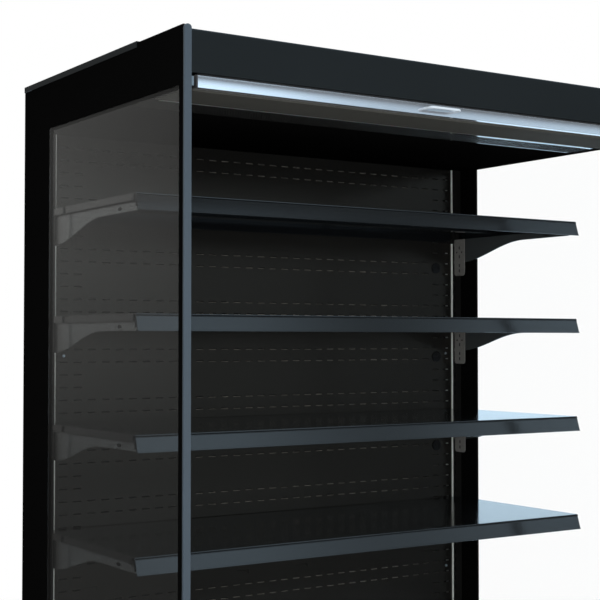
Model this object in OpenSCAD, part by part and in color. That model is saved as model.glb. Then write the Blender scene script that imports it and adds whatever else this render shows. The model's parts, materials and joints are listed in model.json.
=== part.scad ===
// Open-front refrigerated shelf cabinet with a slotted back wall, lift-off shelves,
// a pull-down night blind, glazed end walls and a cooling tub with fans in the base.
// Frame: X to the right, Y to the rear, Z up, floor at Z = 0, millimetres.

/* [Cabinet] */
// Overall width over both end walls
cab_w = 1300; // [1100:10:1900]
// Depth of the end walls, front edge to rear face
cab_d = 805; // [760:5:900]
// Height of the end walls' top edge above the floor
cab_h = 2000; // [1800:10:2200]
// Height of the end walls' bottom edge above the floor
plinth_h = 90; // [80:1:105]

/* [End walls] */
// Thickness of an end wall
end_t = 16; // [15:0.5:24]
// Opaque border behind the window
border_rear = 157.5; // [130:0.5:180]
// Opaque border above the window
border_top = 117; // [90:1:140]
// Opaque border in front of the window
border_front = 15; // [13:0.5:30]
// Opaque border below the window
border_bottom = 345; // [330:1:420]
// Thickness of the glass pane
glass_t = 10; // [6:0.5:11]
// Thickness of the rubber gasket behind the pane
gasket_t = 1.5; // [1:0.1:2]
// How far the pane laps over the window's edge
glass_lap = 5; // [3:0.5:6]
// Depth of the metal strip on the front edge
trim_d = 6; // [4:0.5:7]

/* [Base] */
// Bottom of the base rails above the floor
rail_z = 60; // [50:1:64]
// Width and height of a base rail
rail_s = 50; // [46:1:60]
// Wall of a base rail
rail_wall = 3; // [2:0.5:5]
// Distance of a base rail's middle from the end wall's outer face
rail_inset = 105; // [100:5:230]
// Setback of the base rails from the cabinet front
rail_front = 60; // [50:1:90]
// Setback of the front feet
foot_front = 130; // [120:1:200]
// Setback of the rear feet
foot_rear = 735; // [640:1:740]
// Diameter of a foot's pad
foot_pad_d = 60; // [40:1:70]
// Height of a foot's pad
foot_pad_h = 12; // [8:1:20]
// Diameter of a foot's threaded stem
foot_stem_d = 16; // [10:1:18]
// Height of a lock nut
nut_h = 11; // [8:1:14]
// Width across the corners of a lock nut
nut_d = 27; // [24:1:32]
// Thickness of the insulated tub floor and front wall
tub_t = 50; // [40:1:55]
// Setback of the insulated front wall
tub_front = 20; // [18:1:30]
// Top of the insulated front wall above the floor
tub_top = 436; // [425:1:440]
// Thickness of the folded sheet of the base
sheet_t = 2; // [1.5:0.1:2.5]
// Setback of the front cladding's face
front_face = 8; // [7:0.5:12]
// Height of the bumper strip
bumper_h = 40; // [30:1:60]
// Bumper strip's middle above the floor
bumper_z = 360; // [300:1:400]
// How far the bumper stands out of the cladding
bumper_out = 16; // [10:0.5:20]
// Bottom of the kick plate above the floor
kick_z = 14; // [8:1:30]

/* [Rear wall and roof] */
// Thickness of the insulated rear wall
wall_t = 48; // [40:1:52]
// Thickness of the insulated roof
roof_t = 55; // [45:1:60]
// Setback of the roof cap and of the roof behind the canopy
roof_front = 203; // [190:1:230]
// Height of the roof cap above the end walls
cap_h = 7.4; // [4:0.1:12]
// Distance from the rear face to the slotted back panel's face
back_set = 89; // [86:1:100]
// Thickness of a back panel's sheet
panel_t = 1.5; // [1:0.1:2.5]
// Depth of the folded hem at a panel's top and bottom
hem_d = 12; // [8:1:20]

/* [Slotted back panels] */
// Distance between columns of air slots
slot_col = 36.25; // [34:0.25:42]
// Distance between rows of air slots
slot_row = 30; // [28:0.5:31]
// Length of an air slot
slot_l = 20; // [14:0.5:24]
// Height of an air slot
slot_h = 2.5; // [1.5:0.1:4]
// Drop of the top row below the end walls' top
slot_drop = 142.3; // [136:0.1:150]
// Least distance of a slot column's middle from a panel's side
slot_margin = 21; // [15:0.5:30]
// Length of a lifting cut-out in the middle panel
lift_l = 34; // [20:1:50]
// Height of a lifting cut-out
lift_h = 9; // [6:0.5:14]
// Diameter of a panel screw's head
screw_head_d = 8; // [6:0.5:10]
// Diameter of a panel screw's shank
screw_d = 4; // [3:0.5:5]
// Length of a panel screw's shank
screw_l = 10; // [8:1:14]

/* [Uprights] */
// Width of an upright
up_w = 29; // [27:0.5:34]
// Wall of an upright
up_wall = 2.5; // [2:0.1:3]
// How far an upright stands in front of the back panels
up_proud = 4; // [2:0.5:6]
// Distance between hook slots
hook_pitch = 25; // [24:0.5:26]
// Height of a hook slot
hook_slot_h = 14; // [11:0.5:16]
// Width of the bright edge strip beside an upright
edge_w = 4; // [3:0.5:6]
// Depth of the bright edge strip
edge_d = 30; // [20:1:36]

/* [Shelves] */
// Drop of the top shelf's surface below the end walls' top
shelf_drop = 295; // [280:1:310]
// Bracket slots by which the lowest shelf hangs lower than the even spacing
low_steps = 2; // [0:1:3]
// Gap between a shelf's end and the end wall
shelf_gap = 9; // [6:0.5:10]
// Setback of the price rail's top edge
shelf_front = 245; // [220:1:300]
// Gap between a shelf and the uprights
shelf_rear_gap = 4; // [2:0.5:8]
// Thickness of a shelf's sheet
shelf_t = 1.5; // [1:0.1:2]
// Depth of a shelf's side flange
side_flange = 15.5; // [12:0.5:16]
// Depth of a shelf's front flange
front_flange = 28; // [24:0.5:32]
// Depth of a shelf's rear flange
rear_flange = 26; // [15:0.5:32]
// Width of a shelf's stiffener
stiff_w = 30; // [20:1:40]
// Depth of a shelf's stiffener below the top sheet
stiff_h = 12; // [8:0.5:16]

/* [Price rails] */
// Length of a price rail's sloping face
rail_face = 38; // [30:0.5:44]
// Slope of a price rail's face from upright, in degrees
rail_tilt = 17.25; // [10:0.25:25]
// Wall of a price rail
rail_t = 1.8; // [1.5:0.1:2.2]
// Width of the bead along a price rail's top
rail_bead = 5.5; // [4:0.5:8]
// Width of the lip along a price rail's bottom
rail_lip = 3; // [2:0.5:5]
// Step from the bead to the label face
rail_step = 0.8; // [0.5:0.1:1.2]
// Depth of a price rail behind its top edge
rail_depth = 3.6; // [3.4:0.1:4.5]

/* [Shelf brackets] */
// Distance of a bracket arm from the end wall
arm_off = 18; // [17:0.5:19]
// Thickness of a bracket arm
arm_t = 3; // [2:0.1:3.5]
// Drop of a bracket arm's top below the shelf surface
arm_drop = 18.5; // [17.5:0.5:22]
// Drop of a bracket arm's underside at the front
arm_low_front = 35.5; // [33:0.5:45]
// Drop of a bracket arm's underside at the rear
arm_low_rear = 84.5; // [82:0.5:90]
// Distance of the arm's front end behind the price rail's top edge
arm_front = 15; // [10:0.5:25]
// Length of the curved root of an arm
arm_curve = 260; // [180:5:300]
// Width of a hook plate
hook_plate_w = 43; // [36:1:50]
// Thickness of a hook plate
hook_plate_t = 2.5; // [2:0.1:3]
// Drop of the right hook plates' bottom below the shelf surface
hook_leg = 121.5; // [110:0.5:130]
// Diameter of a round shelf light socket
socket_d = 29; // [24:0.5:34]
// Drop of a shelf light socket's middle below the shelf surface
socket_drop = 101; // [92:1:108]
// Distance of the sockets' middle from the right end wall
socket_off = 88; // [84:1:110]

/* [Canopy] */
// Drop of the fascia's top below the end walls' top
fascia_drop = 7; // [4:0.5:8]
// Height of the fascia
fascia_h = 81; // [78:0.5:84]
// Radius of the fascia's top edge
fascia_r = 8; // [5:0.5:12]
// Depth of the hem along the fascia's bottom
fascia_hem = 7; // [4:0.5:8]
// Drop of the canopy's underside below the end walls' top
under_drop = 117; // [116:0.5:119]
// Setback of the underside's front lip
under_front = 25; // [24.5:0.5:28]
// Depth of the underside, front lip to rear lip
under_d = 123; // [100:1:124]
// Height of the underside's front lip
under_lip_front = 16; // [10:0.5:24]
// Height of the underside's rear lip
under_lip_rear = 30; // [26:0.5:34]
// Depth of the lamp housing
lamp_d = 26; // [20:0.5:28]
// Height of the lamp housing
lamp_h = 18; // [14:0.5:20]
// Wall of the lamp housing
lamp_wall = 1.5; // [1:0.1:2.5]
// Gap between the lamp's ends and the end walls
lamp_end_gap = 40; // [20:1:120]
// Setback of the honeycomb
honey_front = 178; // [176:0.5:190]
// Depth of the honeycomb, front to rear
honey_d = 92; // [80:1:110]
// Height of the honeycomb
honey_h = 20; // [12:0.5:24]
// Width of a honeycomb cell across its flats
cell_w = 17; // [16:0.5:19]
// Wall between honeycomb cells
cell_wall = 1.6; // [1.2:0.1:2.2]
// Rim around the honeycomb
honey_rim = 3; // [2:0.5:6]

/* [Night blind] */
// Setback of the blind roller's axis
roller_set = 36; // [35.5:0.1:37]
// Drop of the blind roller's axis below the end walls' top
roller_drop = 45; // [42:0.5:47]
// Diameter of the roller tube
tube_d = 38; // [34:0.5:40]
// Wall of the roller tube
tube_wall = 1.5; // [1:0.1:2]
// Diameter of the wound fabric
roll_d = 48; // [44:0.5:48.5]
// Diameter of the pins that the roller turns on
pin_d = 10; // [6:0.5:12]
// Radial running clearance of the pins
pin_clear = 0.05; // [0.02:0.01:0.1]
// Length of a roller end plug
plug_l = 22; // [16:1:30]
// Thickness of a roller bracket
blind_plate_t = 3; // [2:0.5:4]
// Setback of the pull bar's face
bar_face = 1.5; // [1:0.1:2]
// Depth of the pull bar
bar_d = 21; // [18:0.5:22]
// Height of the pull bar
bar_h = 25; // [20:0.5:26]
// Drop of the pull bar's top below the fascia
bar_gap = 3; // [2:0.1:4]
// Wall of the pull bar
bar_wall = 1.8; // [1.2:0.1:2.5]
// Radius of the pull bar's front edges
bar_r = 4; // [2:0.5:6]
// Gap between the pull bar's ends and the end walls
bar_end_gap = 11; // [10:0.5:16]
// Thickness of a pull bar's end cap
bar_cap_t = 3; // [2:0.5:5]
// Length of the pull handle
handle_l = 88; // [60:1:110]
// How far the pull handle stands out in front of the end walls
handle_reach = 26; // [20:0.5:34]
// Thickness of the pull handle's rod
handle_rod = 6; // [4:0.5:8]
// Distance of the pull handle's middle from the cabinet's middle, to the left
handle_left = 25; // [0:1:200]

/* [Cooling base] */
// Height of the deck pans' surface above the floor
deck_z = 455; // [452:0.5:470]
// Setback of the deck pans' front
deck_front = 165; // [160:1:172]
// Depth of a deck pan's folded edge
deck_edge = 18; // [12:0.5:22]
// Width of a deck rail
deck_rail_w = 20; // [15:0.5:26]
// Height of a deck rail
deck_rail_h = 30; // [24:0.5:36]
// Gap between the two deck pans, and at their ends
deck_gap = 2; // [1:0.5:4]
// Thickness of the air return grille
grille_t = 4; // [3:0.5:5]
// Setback of the fan plate
fan_set = 258; // [250:1:290]
// Distance of a fan's axis from the cabinet's middle
fan_x = 300; // [220:1:340]
// Height of the fans' axis above the floor
fan_z = 300; // [290:1:310]
// Diameter of the opening for a fan
fan_hole_d = 196; // [180:1:198]
// Diameter of a fan rotor over its blades
fan_d = 184; // [150:1:190]
// Diameter of a fan rotor's hub
fan_hub_d = 80; // [60:1:90]
// Diameter of a fan motor
motor_d = 72; // [50:1:80]
// Length of a fan motor
motor_l = 50; // [40:1:60]
// Diameter of a fan motor's shaft
shaft_d = 8; // [6:0.5:10]
// Radial running clearance of a fan rotor on its shaft
shaft_clear = 0.05; // [0.02:0.01:0.1]
// Width of the cooling coil
coil_w = 900; // [700:10:1050]
// Depth of the cooling coil
coil_d = 220; // [180:5:240]
// Height of the cooling coil
coil_h = 110; // [80:5:160]
// Distance between fins of the cooling coil
fin_pitch = 25; // [20:1:40]
// Diameter of the drain stub
drain_d = 40; // [32:1:50]
// Wall of the drain stub
drain_wall = 3; // [2:0.5:4]
// Diameter of the suction pipe stub
suction_d = 22; // [16:1:28]
// Diameter of the liquid pipe stub
liquid_d = 12; // [8:1:15]
// Height of the pipe stubs' open ends above the floor
stub_z = 45; // [30:1:80]

/* [Hidden] */
$fn = 48;

// Clearances and small fixed sizes
eps = 0.01;          // overlap of a cut past the face that it opens
fit_gap = 0.3;       // gap between pieces that pass each other
slip = 0.1;          // radial gap of a fixed pin in its hole
arc_steps = 8;       // straight steps in a quarter round
curve_steps = 20;    // straight steps along a bracket's curved root
hex = 6;             // sides of a nut or of a honeycomb cell
right_angle = 90;
shelf_count = 5;
rear_flange_clear = 10;   // rear flange and stiffeners end this far inside the uprights
ceiling_rise = 3;         // ceiling above the canopy's underside
panel_lap = 14;           // back panel stands this far above the ceiling
low_row_clear = 20;       // least height of a slot row above the deck
upper_ratio = 0.38;       // share of the slot rows in the upper panel
middle_ratio = 0.43;      // share of the slot rows in the middle panel
lamp_drop = 6;            // lamp housing's top below the rear lip's top
tube_end_gap = 5;
fabric_end_gap = 10;
coil_gap = 20;
coil_rise = 20;
roof_clear = 28;          // roller bracket above the roller's axis
ledge_d = 16;             // ledge of the front deck rail that carries the grille

// Overall planes
hw = cab_w / 2;
in_x = hw - end_t;
y_front = -(cab_d - handle_reach) / 2;
y_rear = y_front + cab_d;
wall_y = y_rear - wall_t;
back_y = y_rear - back_set;
up_y = back_y - up_proud;
tub_z = rail_z + rail_s;
tub_in_z = tub_z + tub_t;
roof_z = cab_h - roof_t;
win_z0 = plinth_h + border_bottom;
win_z1 = cab_h - border_top;
win_y0 = y_front + border_front;
win_y1 = y_rear - border_rear;
rebate_d = glass_t + gasket_t;

// Shelf places
shelf_l2 = in_x - shelf_gap;
shelf_y0 = y_front + shelf_front;
shelf_y1 = up_y - shelf_rear_gap;
// Hook slots between one shelf and the next: the shelves share the height above the deck
shelf_steps = floor((cab_h - shelf_drop - deck_z) / (shelf_count * hook_pitch) + eps);
shelf_pitch = shelf_steps * hook_pitch;
shelf_body_y = shelf_y0 + rail_depth;
flange_x = in_x - up_w - edge_w - rear_flange_clear;
rib_w = 5;                // rib that sits on a bracket arm
side_flange_set = 13;     // side flange starts this far behind the price rail's top edge
stiff_at = [0.3, 0.65];   // stiffener places along the shelf's depth
low_drop = low_steps * hook_pitch;  // the lowest shelf hangs this much lower
function shelf_z(i) = cab_h - shelf_drop - i * shelf_pitch - (i == shelf_count - 1 ? low_drop : 0);

// Slot and panel places
panel_l2 = in_x - up_w - edge_w;
slot_cols = floor((2 * (panel_l2 - slot_margin)) / slot_col + eps) + 1;
slot_col_x0 = -(slot_cols - 1) / 2 * slot_col;
slot_z0 = cab_h - slot_drop;
function row_z(j) = slot_z0 - j * slot_row;
rows_all = floor((slot_z0 - deck_z - low_row_clear) / slot_row) + 1;
rows_upper = round(rows_all * upper_ratio);
rows_middle = round(rows_all * middle_ratio);
rows_lower = rows_all - rows_upper - rows_middle;
seam_upper_z = row_z(rows_upper - 0.5);
seam_lower_z = row_z(rows_upper + rows_middle - 0.5);
ceiling_z = cab_h - under_drop + ceiling_rise;
panel_top_z = ceiling_z + panel_lap;
panel_low_z = deck_z - 2 * deck_edge;
screw_rise = slot_row;    // panel screws above a panel's lower edge
screw_x = -slot_col_x0;
lift_row_count = 3;       // lifting cut-outs sit this many rows above the middle panel's lower edge
lift_col_counts = [2.5, 14];   // lifting cut-outs, in columns from the middle
lift_z = row_z(rows_upper + rows_middle - lift_row_count);
lift_x = slot_col * lift_col_counts;
seat_d = 6;               // slots keep this far from a socket's rim
screw_head_h = 2.4;
socket_x = in_x - socket_off;
socket_lip_h = 3;         // socket rim in front of the panel
socket_rim = 3;           // socket rim outside its body
socket_body_d = socket_d - 2 * socket_rim;
socket_body_l = 14;
socket_recess_d = socket_d - 4 * socket_rim;
socket_recess_h = 2;
socket_pole_d = 3;
socket_pole_r = 4.5;

// Bracket places
arm_x0 = in_x - arm_off - arm_t;
hook_x0 = arm_x0 - hook_plate_t;
hook_y1 = up_y - fit_gap;
hook_y0 = hook_y1 - hook_plate_w;
arm_y0 = shelf_y0 + arm_front;
hook_first = 30;          // first hook slot below the shelf surface
hook_neck_h = 9;
hook_drop_h = 8;
hook_lip = 3.2;
hook_slot_play = 1;       // room on each side of a hook plate in its slot
hook_slot_w = hook_plate_t + 2 * hook_slot_play;
hook_slot_x = hook_x0 + hook_plate_t / 2;
hook_at_left = [0, 1];    // hooks of the left plates sit in these slots, counted down from the first
hook_at_right = [0, 2];   // hooks of the right plates, which have the longer legs
key_at_left = [0.5, 1.5];             // slots down the middle of the left plates
key_at_right = [0.5, 1.5, 2.5, 3.1];  // slots down the middle of the right plates
up_extra_count = 3;       // spare hook slots above the top shelf
hook_round = 8;           // rounding of a hook plate's lower corners
key_slot_w = 4.5;
key_slot_h = 9;
key_hole_d = 5;
arm_hole_d = 5;
arm_hole_l = 12;
arm_hole_set = 74;        // oval hole behind the arm's front end
function hook_z(i, m) = shelf_z(i) - hook_first - m * hook_pitch;

// Canopy and blind places
fascia_z1 = cab_h - fascia_drop;
fascia_z0 = fascia_z1 - fascia_h;
under_z = cab_h - under_drop;
under_y0 = y_front + under_front;
under_y1 = under_y0 + under_d;
lamp_z0 = under_z + under_lip_rear - lamp_h - lamp_drop;
lamp_x = in_x - lamp_end_gap;
honey_y0 = y_front + honey_front;
honey_y1 = honey_y0 + honey_d;
cell_pitch = cell_w + cell_wall;
cell_rows = floor((honey_d - 2 * honey_rim - cell_w) / (cell_pitch * sin(60)) + eps) + 1;
cell_cols = floor((2 * in_x - 2 * honey_rim - cell_w - cell_pitch / 2) / cell_pitch + eps) + 1;
roller_y = y_front + roller_set;
roller_z = cab_h - roller_drop;
blind_x = in_x - blind_plate_t;
tube_x = blind_x - tube_end_gap;
fabric_x = tube_x - fabric_end_gap;
fabric_t = 0.5;
fabric_y = roller_y - roll_d / 2 - fit_gap - fabric_t;
blind_plate_d = 46;
blind_plate_h = 60;
bar_y = y_front + bar_face;
bar_z1 = fascia_z0 - bar_gap;
bar_z0 = bar_z1 - bar_h;
bar_x = in_x - bar_end_gap;
stop_w = 7;               // stop beside the pull bar's end
stop_d = 14;
stop_h = 18;
handle_z = bar_z0 + bar_h / 2;

// Base places
kick_y = y_front + rail_front;
kick_end_gap = 20;
rail_x = hw - rail_inset;
foot_x = rail_x;
foot_rim_h = foot_pad_h * 0.6;
foot_top_d = foot_pad_d * 0.6;
foot_ys = [y_front + foot_front, y_front + foot_rear];
stem_top = rail_z + rail_s / 2;
front_y = y_front + front_face;
tub_y0 = y_front + tub_front;
cladding_top = 40;         // folded top of the front cladding
cladding_back = tub_y0 + cladding_top;
grille_gap = 2;            // gap in front of and behind the grille
grille_y0 = cladding_back + grille_gap;
grille_z = tub_top;
deck_y0 = y_front + deck_front;
deck_y1 = up_y - shelf_rear_gap;
deck_under_z = deck_z - sheet_t;
deck_rail_set = 7;         // front deck rail behind the pans' front
deck_rail_y0 = deck_y0 + deck_rail_set;
deck_rail_back = 4;        // rear deck rail in front of the pans' rear edge
deck_rail_y1 = deck_y1 - sheet_t - deck_rail_back - deck_rail_w;
grille_y1 = deck_y0 - grille_gap;
grille_slot_w = 8;
grille_slot_pitch = 20;
grille_row_count = 2;
grille_rim = 8;
grille_bar = 6;
fan_y = y_front + fan_set;
fan_plate_top = deck_under_z - deck_rail_h;
hub_l = 30;
hub_gap = 4;
blade_t = 3;
blade_w = 46;
blade_pitch = 32;
blade_count = 5;
spider_t = 6;
spider_count = 4;
spider_lap = 14;
motor_front = fan_y + sheet_t;
coil_y0 = motor_front + motor_l + coil_gap;
coil_z0 = tub_in_z + coil_rise;
coil_end_t = 3;
fin_t = 1;
coil_tube_d = 12;
coil_tubes = [2, 4];      // tube rows up and along the depth
coil_foot_w = 40;
coil_col = coil_d / (coil_tubes[1] + 1);
coil_row = coil_h / (coil_tubes[0] + 1);
collar_t = 2;             // collar of a stub where it passes through the tub floor
stub_gap = 5;             // gap between a stub's collar and the base rail beside it
stub_x = rail_x + rail_s / 2 + stub_gap + collar_t + suction_d / 2;
stub_wall = 1.5;
stub_top = coil_z0 + coil_row;
stub_y = [coil_y0 + coil_col, coil_y0 + 3 * coil_col];
stub_link_d = 9;          // pipe from the coil's tube to a stub
collar_drop = 5;           // collar below the tub floor
collar_z = tub_z - collar_drop;
drain_x = 0;
drain_y = coil_y0 + coil_d / 2;
drain_lip = 10;
drain_lip_t = 3;
bumper_r = 10;

// Shared shapes

module slab(x0, x1, y0, y1, z0, z1) {
    translate([x0, y0, z0])
        cube([x1 - x0, y1 - y0, z1 - z0]);
}

// A box as wide as both sides of X = 0
module wide(x, y0, y1, z0, z1) {
    slab(-x, x, y0, y1, z0, z1);
}

// A Y-Z outline drawn out along X
module along_x(x0, x1) {
    translate([x0, 0, 0])
        rotate([90, 0, 90])
            linear_extrude(x1 - x0)
                children();
}

// An X-Z outline drawn out along Y
module along_y(y0, y1) {
    translate([0, y1, 0])
        rotate([90, 0, 0])
            linear_extrude(y1 - y0)
                children();
}

module both_sides() {
    children();
    mirror([1, 0, 0])
        children();
}

// A rod along X between two places
module rod_x(d, x0, x1, y, z) {
    translate([x0, y, z])
        rotate([0, 90, 0])
            cylinder(d = d, h = x1 - x0);
}

// A rod along Y between two places
module rod_y(d, x, y0, y1, z) {
    translate([x, y0, z])
        rotate([-90, 0, 0])
            cylinder(d = d, h = y1 - y0);
}

module rod_z(d, x, y, z0, z1) {
    translate([x, y, z0])
        cylinder(d = d, h = z1 - z0);
}

// Points of a quarter round about c, from angle a to a + 90
function quarter(c, r, a) = [for (i = [0:arc_steps])
    let (t = a + right_angle * i / arc_steps)
    c + r * [cos(t), sin(t)]];

// Base

module base_rails() {
    color([0.35, 0.36, 0.38])
        both_sides()
            difference() {
                slab(rail_x - rail_s / 2, rail_x + rail_s / 2, kick_y, wall_y, rail_z, tub_z);
                slab(rail_x - rail_s / 2 + rail_wall, rail_x + rail_s / 2 - rail_wall,
                     kick_y - eps, wall_y + eps, rail_z + rail_wall, tub_z - rail_wall);
                for (y = foot_ys)
                    rod_z(foot_stem_d + 2 * slip, rail_x, y, rail_z - eps, rail_z + rail_wall + eps);
            }
}

module leveling_feet() {
    color([0.12, 0.12, 0.13])
        both_sides()
            for (y = foot_ys)
                translate([foot_x, y, 0]) {
                    cylinder(d = foot_pad_d, h = foot_rim_h);
                    translate([0, 0, foot_rim_h])
                        cylinder(d1 = foot_pad_d, d2 = foot_top_d, h = foot_pad_h - foot_rim_h);
                    cylinder(d = foot_stem_d, h = stem_top);
                }
}

module foot_lock_nuts() {
    color([0.62, 0.63, 0.65])
        both_sides()
            for (y = foot_ys)
                difference() {
                    translate([foot_x, y, rail_z - nut_h])
                        cylinder(d = nut_d, h = nut_h, $fn = hex);
                    rod_z(foot_stem_d + 2 * slip, foot_x, y, rail_z - nut_h - eps, rail_z + eps);
                }
}

module kick_plate() {
    color([0.16, 0.16, 0.17]) {
        wide(in_x - kick_end_gap, kick_y - sheet_t, kick_y, kick_z, tub_z);
        wide(in_x - kick_end_gap, kick_y - sheet_t - deck_edge, kick_y - sheet_t, kick_z, kick_z + sheet_t);
    }
}

module tub_floor() {
    color([0.2, 0.2, 0.21])
        difference() {
            wide(in_x, tub_y0, wall_y, tub_z, tub_in_z);
            rod_z(drain_d + 2 * collar_t + 2 * slip, drain_x, drain_y, tub_z - eps, tub_in_z + eps);
            rod_z(suction_d + 2 * collar_t + 2 * slip, stub_x, stub_y[0], tub_z - eps, tub_in_z + eps);
            rod_z(liquid_d + 2 * collar_t + 2 * slip, stub_x, stub_y[1], tub_z - eps, tub_in_z + eps);
        }
}

module tub_front_wall() {
    color([0.2, 0.2, 0.21])
        wide(in_x, tub_y0, tub_y0 + tub_t, tub_in_z, tub_top);
}

module front_panel() {
    color([0.17, 0.19, 0.2])
        along_x(-in_x, in_x)
            polygon([
                [front_y, tub_z],
                [tub_y0, tub_z],
                [tub_y0, tub_z + sheet_t],
                [front_y + sheet_t, tub_z + sheet_t],
                [front_y + sheet_t, tub_top],
                [cladding_back, tub_top],
                [cladding_back, tub_top + sheet_t],
                [front_y, tub_top + sheet_t]
            ]);
}

module front_bumper() {
    y = front_y - bumper_out;
    z0 = bumper_z - bumper_h / 2;
    z1 = bumper_z + bumper_h / 2;
    color([0.08, 0.08, 0.09])
        along_x(-in_x, in_x)
            polygon(concat(
                [[front_y, z0]],
                [[front_y, z1]],
                quarter([y + bumper_r, z1 - bumper_r], bumper_r, 90),
                quarter([y + bumper_r, z0 + bumper_r], bumper_r, 180)
            ));
}

// Rear wall, roof and end walls

module rear_wall() {
    color([0.22, 0.23, 0.24])
        wide(in_x, wall_y, y_rear, tub_z, roof_z);
}

module roof_panel() {
    color([0.22, 0.23, 0.24])
        wide(in_x, y_front + roof_front, y_rear, roof_z, cab_h);
}

module roof_cap() {
    color([0.2, 0.2, 0.2])
        wide(hw, y_front + roof_front, y_rear, cab_h, cab_h + cap_h);
}

// The right end wall's frame: a slab with a window, rebated from outside for the pane
module end_frame() {
    color([0.03, 0.03, 0.03])
        difference() {
            slab(in_x, hw, y_front + trim_d, y_rear, plinth_h, cab_h);
            slab(in_x - eps, hw + eps, win_y0, win_y1, win_z0, win_z1);
            slab(hw - rebate_d, hw + eps, win_y0 - glass_lap, win_y1 + glass_lap,
                 win_z0 - glass_lap, win_z1 + glass_lap);
        }
}

module end_frame_right() {
    end_frame();
}

module end_frame_left() {
    mirror([1, 0, 0])
        end_frame();
}

module end_glass() {
    color([0.8, 0.86, 0.88, 0.3])
        both_sides()
            slab(hw - glass_t, hw, win_y0 - glass_lap + slip, win_y1 + glass_lap - slip,
                 win_z0 - glass_lap + slip, win_z1 + glass_lap - slip);
}

module glass_gaskets() {
    color([0.05, 0.05, 0.05])
        both_sides()
            difference() {
                slab(hw - rebate_d, hw - glass_t, win_y0 - glass_lap + slip, win_y1 + glass_lap - slip,
                     win_z0 - glass_lap + slip, win_z1 + glass_lap - slip);
                slab(hw - rebate_d - eps, hw - glass_t + eps, win_y0, win_y1, win_z0, win_z1);
            }
}

module end_trims() {
    color([0.35, 0.39, 0.44])
        both_sides()
            along_x(in_x, hw)
                polygon(concat(
                    [[y_front, plinth_h]],
                    [[y_front + trim_d, plinth_h]],
                    [[y_front + trim_d, cab_h]],
                    quarter([y_front + trim_d, cab_h - trim_d], trim_d, 90)
                ));
}

// Uprights and slotted back panels

module hook_slots_2d() {
    last = floor((shelf_z(-1) - deck_z) / hook_pitch);
    for (k = [0:last]) {
        z = hook_z(0, k - up_extra_count);
        if (z > deck_z + hook_pitch)
            translate([hook_slot_x - hook_slot_w / 2, z - hook_slot_h / 2])
                square([hook_slot_w, hook_slot_h]);
    }
}

module uprights() {
    color([0.1, 0.1, 0.1])
        both_sides() {
            along_y(up_y, up_y + up_wall)
                difference() {
                    translate([in_x - up_w, tub_in_z])
                        square([up_w, roof_z - tub_in_z]);
                    hook_slots_2d();
                }
            slab(in_x - up_w, in_x - up_w + up_wall, up_y + up_wall, wall_y, tub_in_z, roof_z);
            slab(in_x - up_wall, in_x, up_y + up_wall, wall_y, tub_in_z, roof_z);
        }
}

module upright_edges() {
    color([0.75, 0.78, 0.77])
        both_sides()
            slab(panel_l2, panel_l2 + edge_w, up_y, up_y + edge_d, panel_low_z, panel_top_z);
}

// True where a slot at x, z would cut into a light socket's seat
function near_socket(x, z) = max([for (i = [0:shelf_count - 1])
    let (side = abs(x - socket_x) < socket_d / 2 + slot_l / 2)
    let (level = abs(z - shelf_z(i) + socket_drop) < socket_d / 2 + seat_d)
    side && level ? 1 : 0]) == 1;

// Slots of one row: rows 0 and 1 of every four run right across, the others have two at each end
module slot_row_2d(j) {
    full = j % 4 < 2;
    for (k = [0:slot_cols - 1]) {
        x = slot_col_x0 + k * slot_col;
        outer = k < 2 || k > slot_cols - 3;
        if ((full || outer) && !near_socket(x, row_z(j)))
            translate([x - slot_l / 2, row_z(j) - slot_h / 2])
                square([slot_l, slot_h]);
    }
}

// Everything cut through the back panels, in the X-Z plane
module panel_holes_2d(first_row, rows, z0) {
    for (j = [first_row:first_row + rows - 1])
        slot_row_2d(j);
    for (i = [0:shelf_count - 1])
        translate([socket_x, shelf_z(i) - socket_drop])
            circle(d = socket_body_d + 2 * slip);
    for (x = [-screw_x, screw_x])
        translate([x, z0 + screw_rise])
            circle(d = screw_d + 2 * slip);
}

module back_panel(first_row, rows, z0, z1) {
    color([0.13, 0.13, 0.13]) {
        along_y(back_y, back_y + panel_t)
            difference() {
                translate([-panel_l2, z0])
                    square([2 * panel_l2, z1 - z0]);
                panel_holes_2d(first_row, rows, z0);
                children();
            }
        wide(panel_l2, back_y + panel_t, back_y + hem_d, z0, z0 + panel_t);
        wide(panel_l2, back_y + panel_t, back_y + hem_d, z1 - panel_t, z1);
    }
}

module back_panel_upper() {
    back_panel(0, rows_upper, seam_upper_z, panel_top_z);
}

module back_panel_middle() {
    back_panel(rows_upper, rows_middle, seam_lower_z, seam_upper_z)
        for (x = lift_x)
            both_sides()
                translate([x - lift_l / 2, lift_z - lift_h / 2])
                    square([lift_l, lift_h]);
}

module back_panel_lower() {
    back_panel(rows_upper + rows_middle, rows_lower, panel_low_z, seam_lower_z);
}

module back_panel_screws() {
    color([0.85, 0.86, 0.87])
        both_sides()
            for (z = [seam_upper_z, seam_lower_z, panel_low_z]) {
                rod_y(screw_head_d, screw_x, back_y - screw_head_h, back_y, z + screw_rise);
                rod_y(screw_d, screw_x, back_y, back_y + screw_l, z + screw_rise);
            }
}

module shelf_light_sockets() {
    color([0.06, 0.06, 0.06])
        for (i = [0:shelf_count - 1]) {
            z = shelf_z(i) - socket_drop;
            difference() {
                union() {
                    rod_y(socket_d, socket_x, back_y - socket_lip_h, back_y, z);
                    rod_y(socket_body_d, socket_x, back_y, back_y + socket_body_l, z);
                }
                rod_y(socket_recess_d, socket_x, back_y - socket_lip_h - eps,
                      back_y - socket_lip_h + socket_recess_h, z);
                for (s = [-1, 1])
                    rod_y(socket_pole_d, socket_x + s * socket_pole_r, back_y - socket_lip_h - eps,
                          back_y + socket_body_l / 2, z);
            }
        }
}

// Canopy

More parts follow.
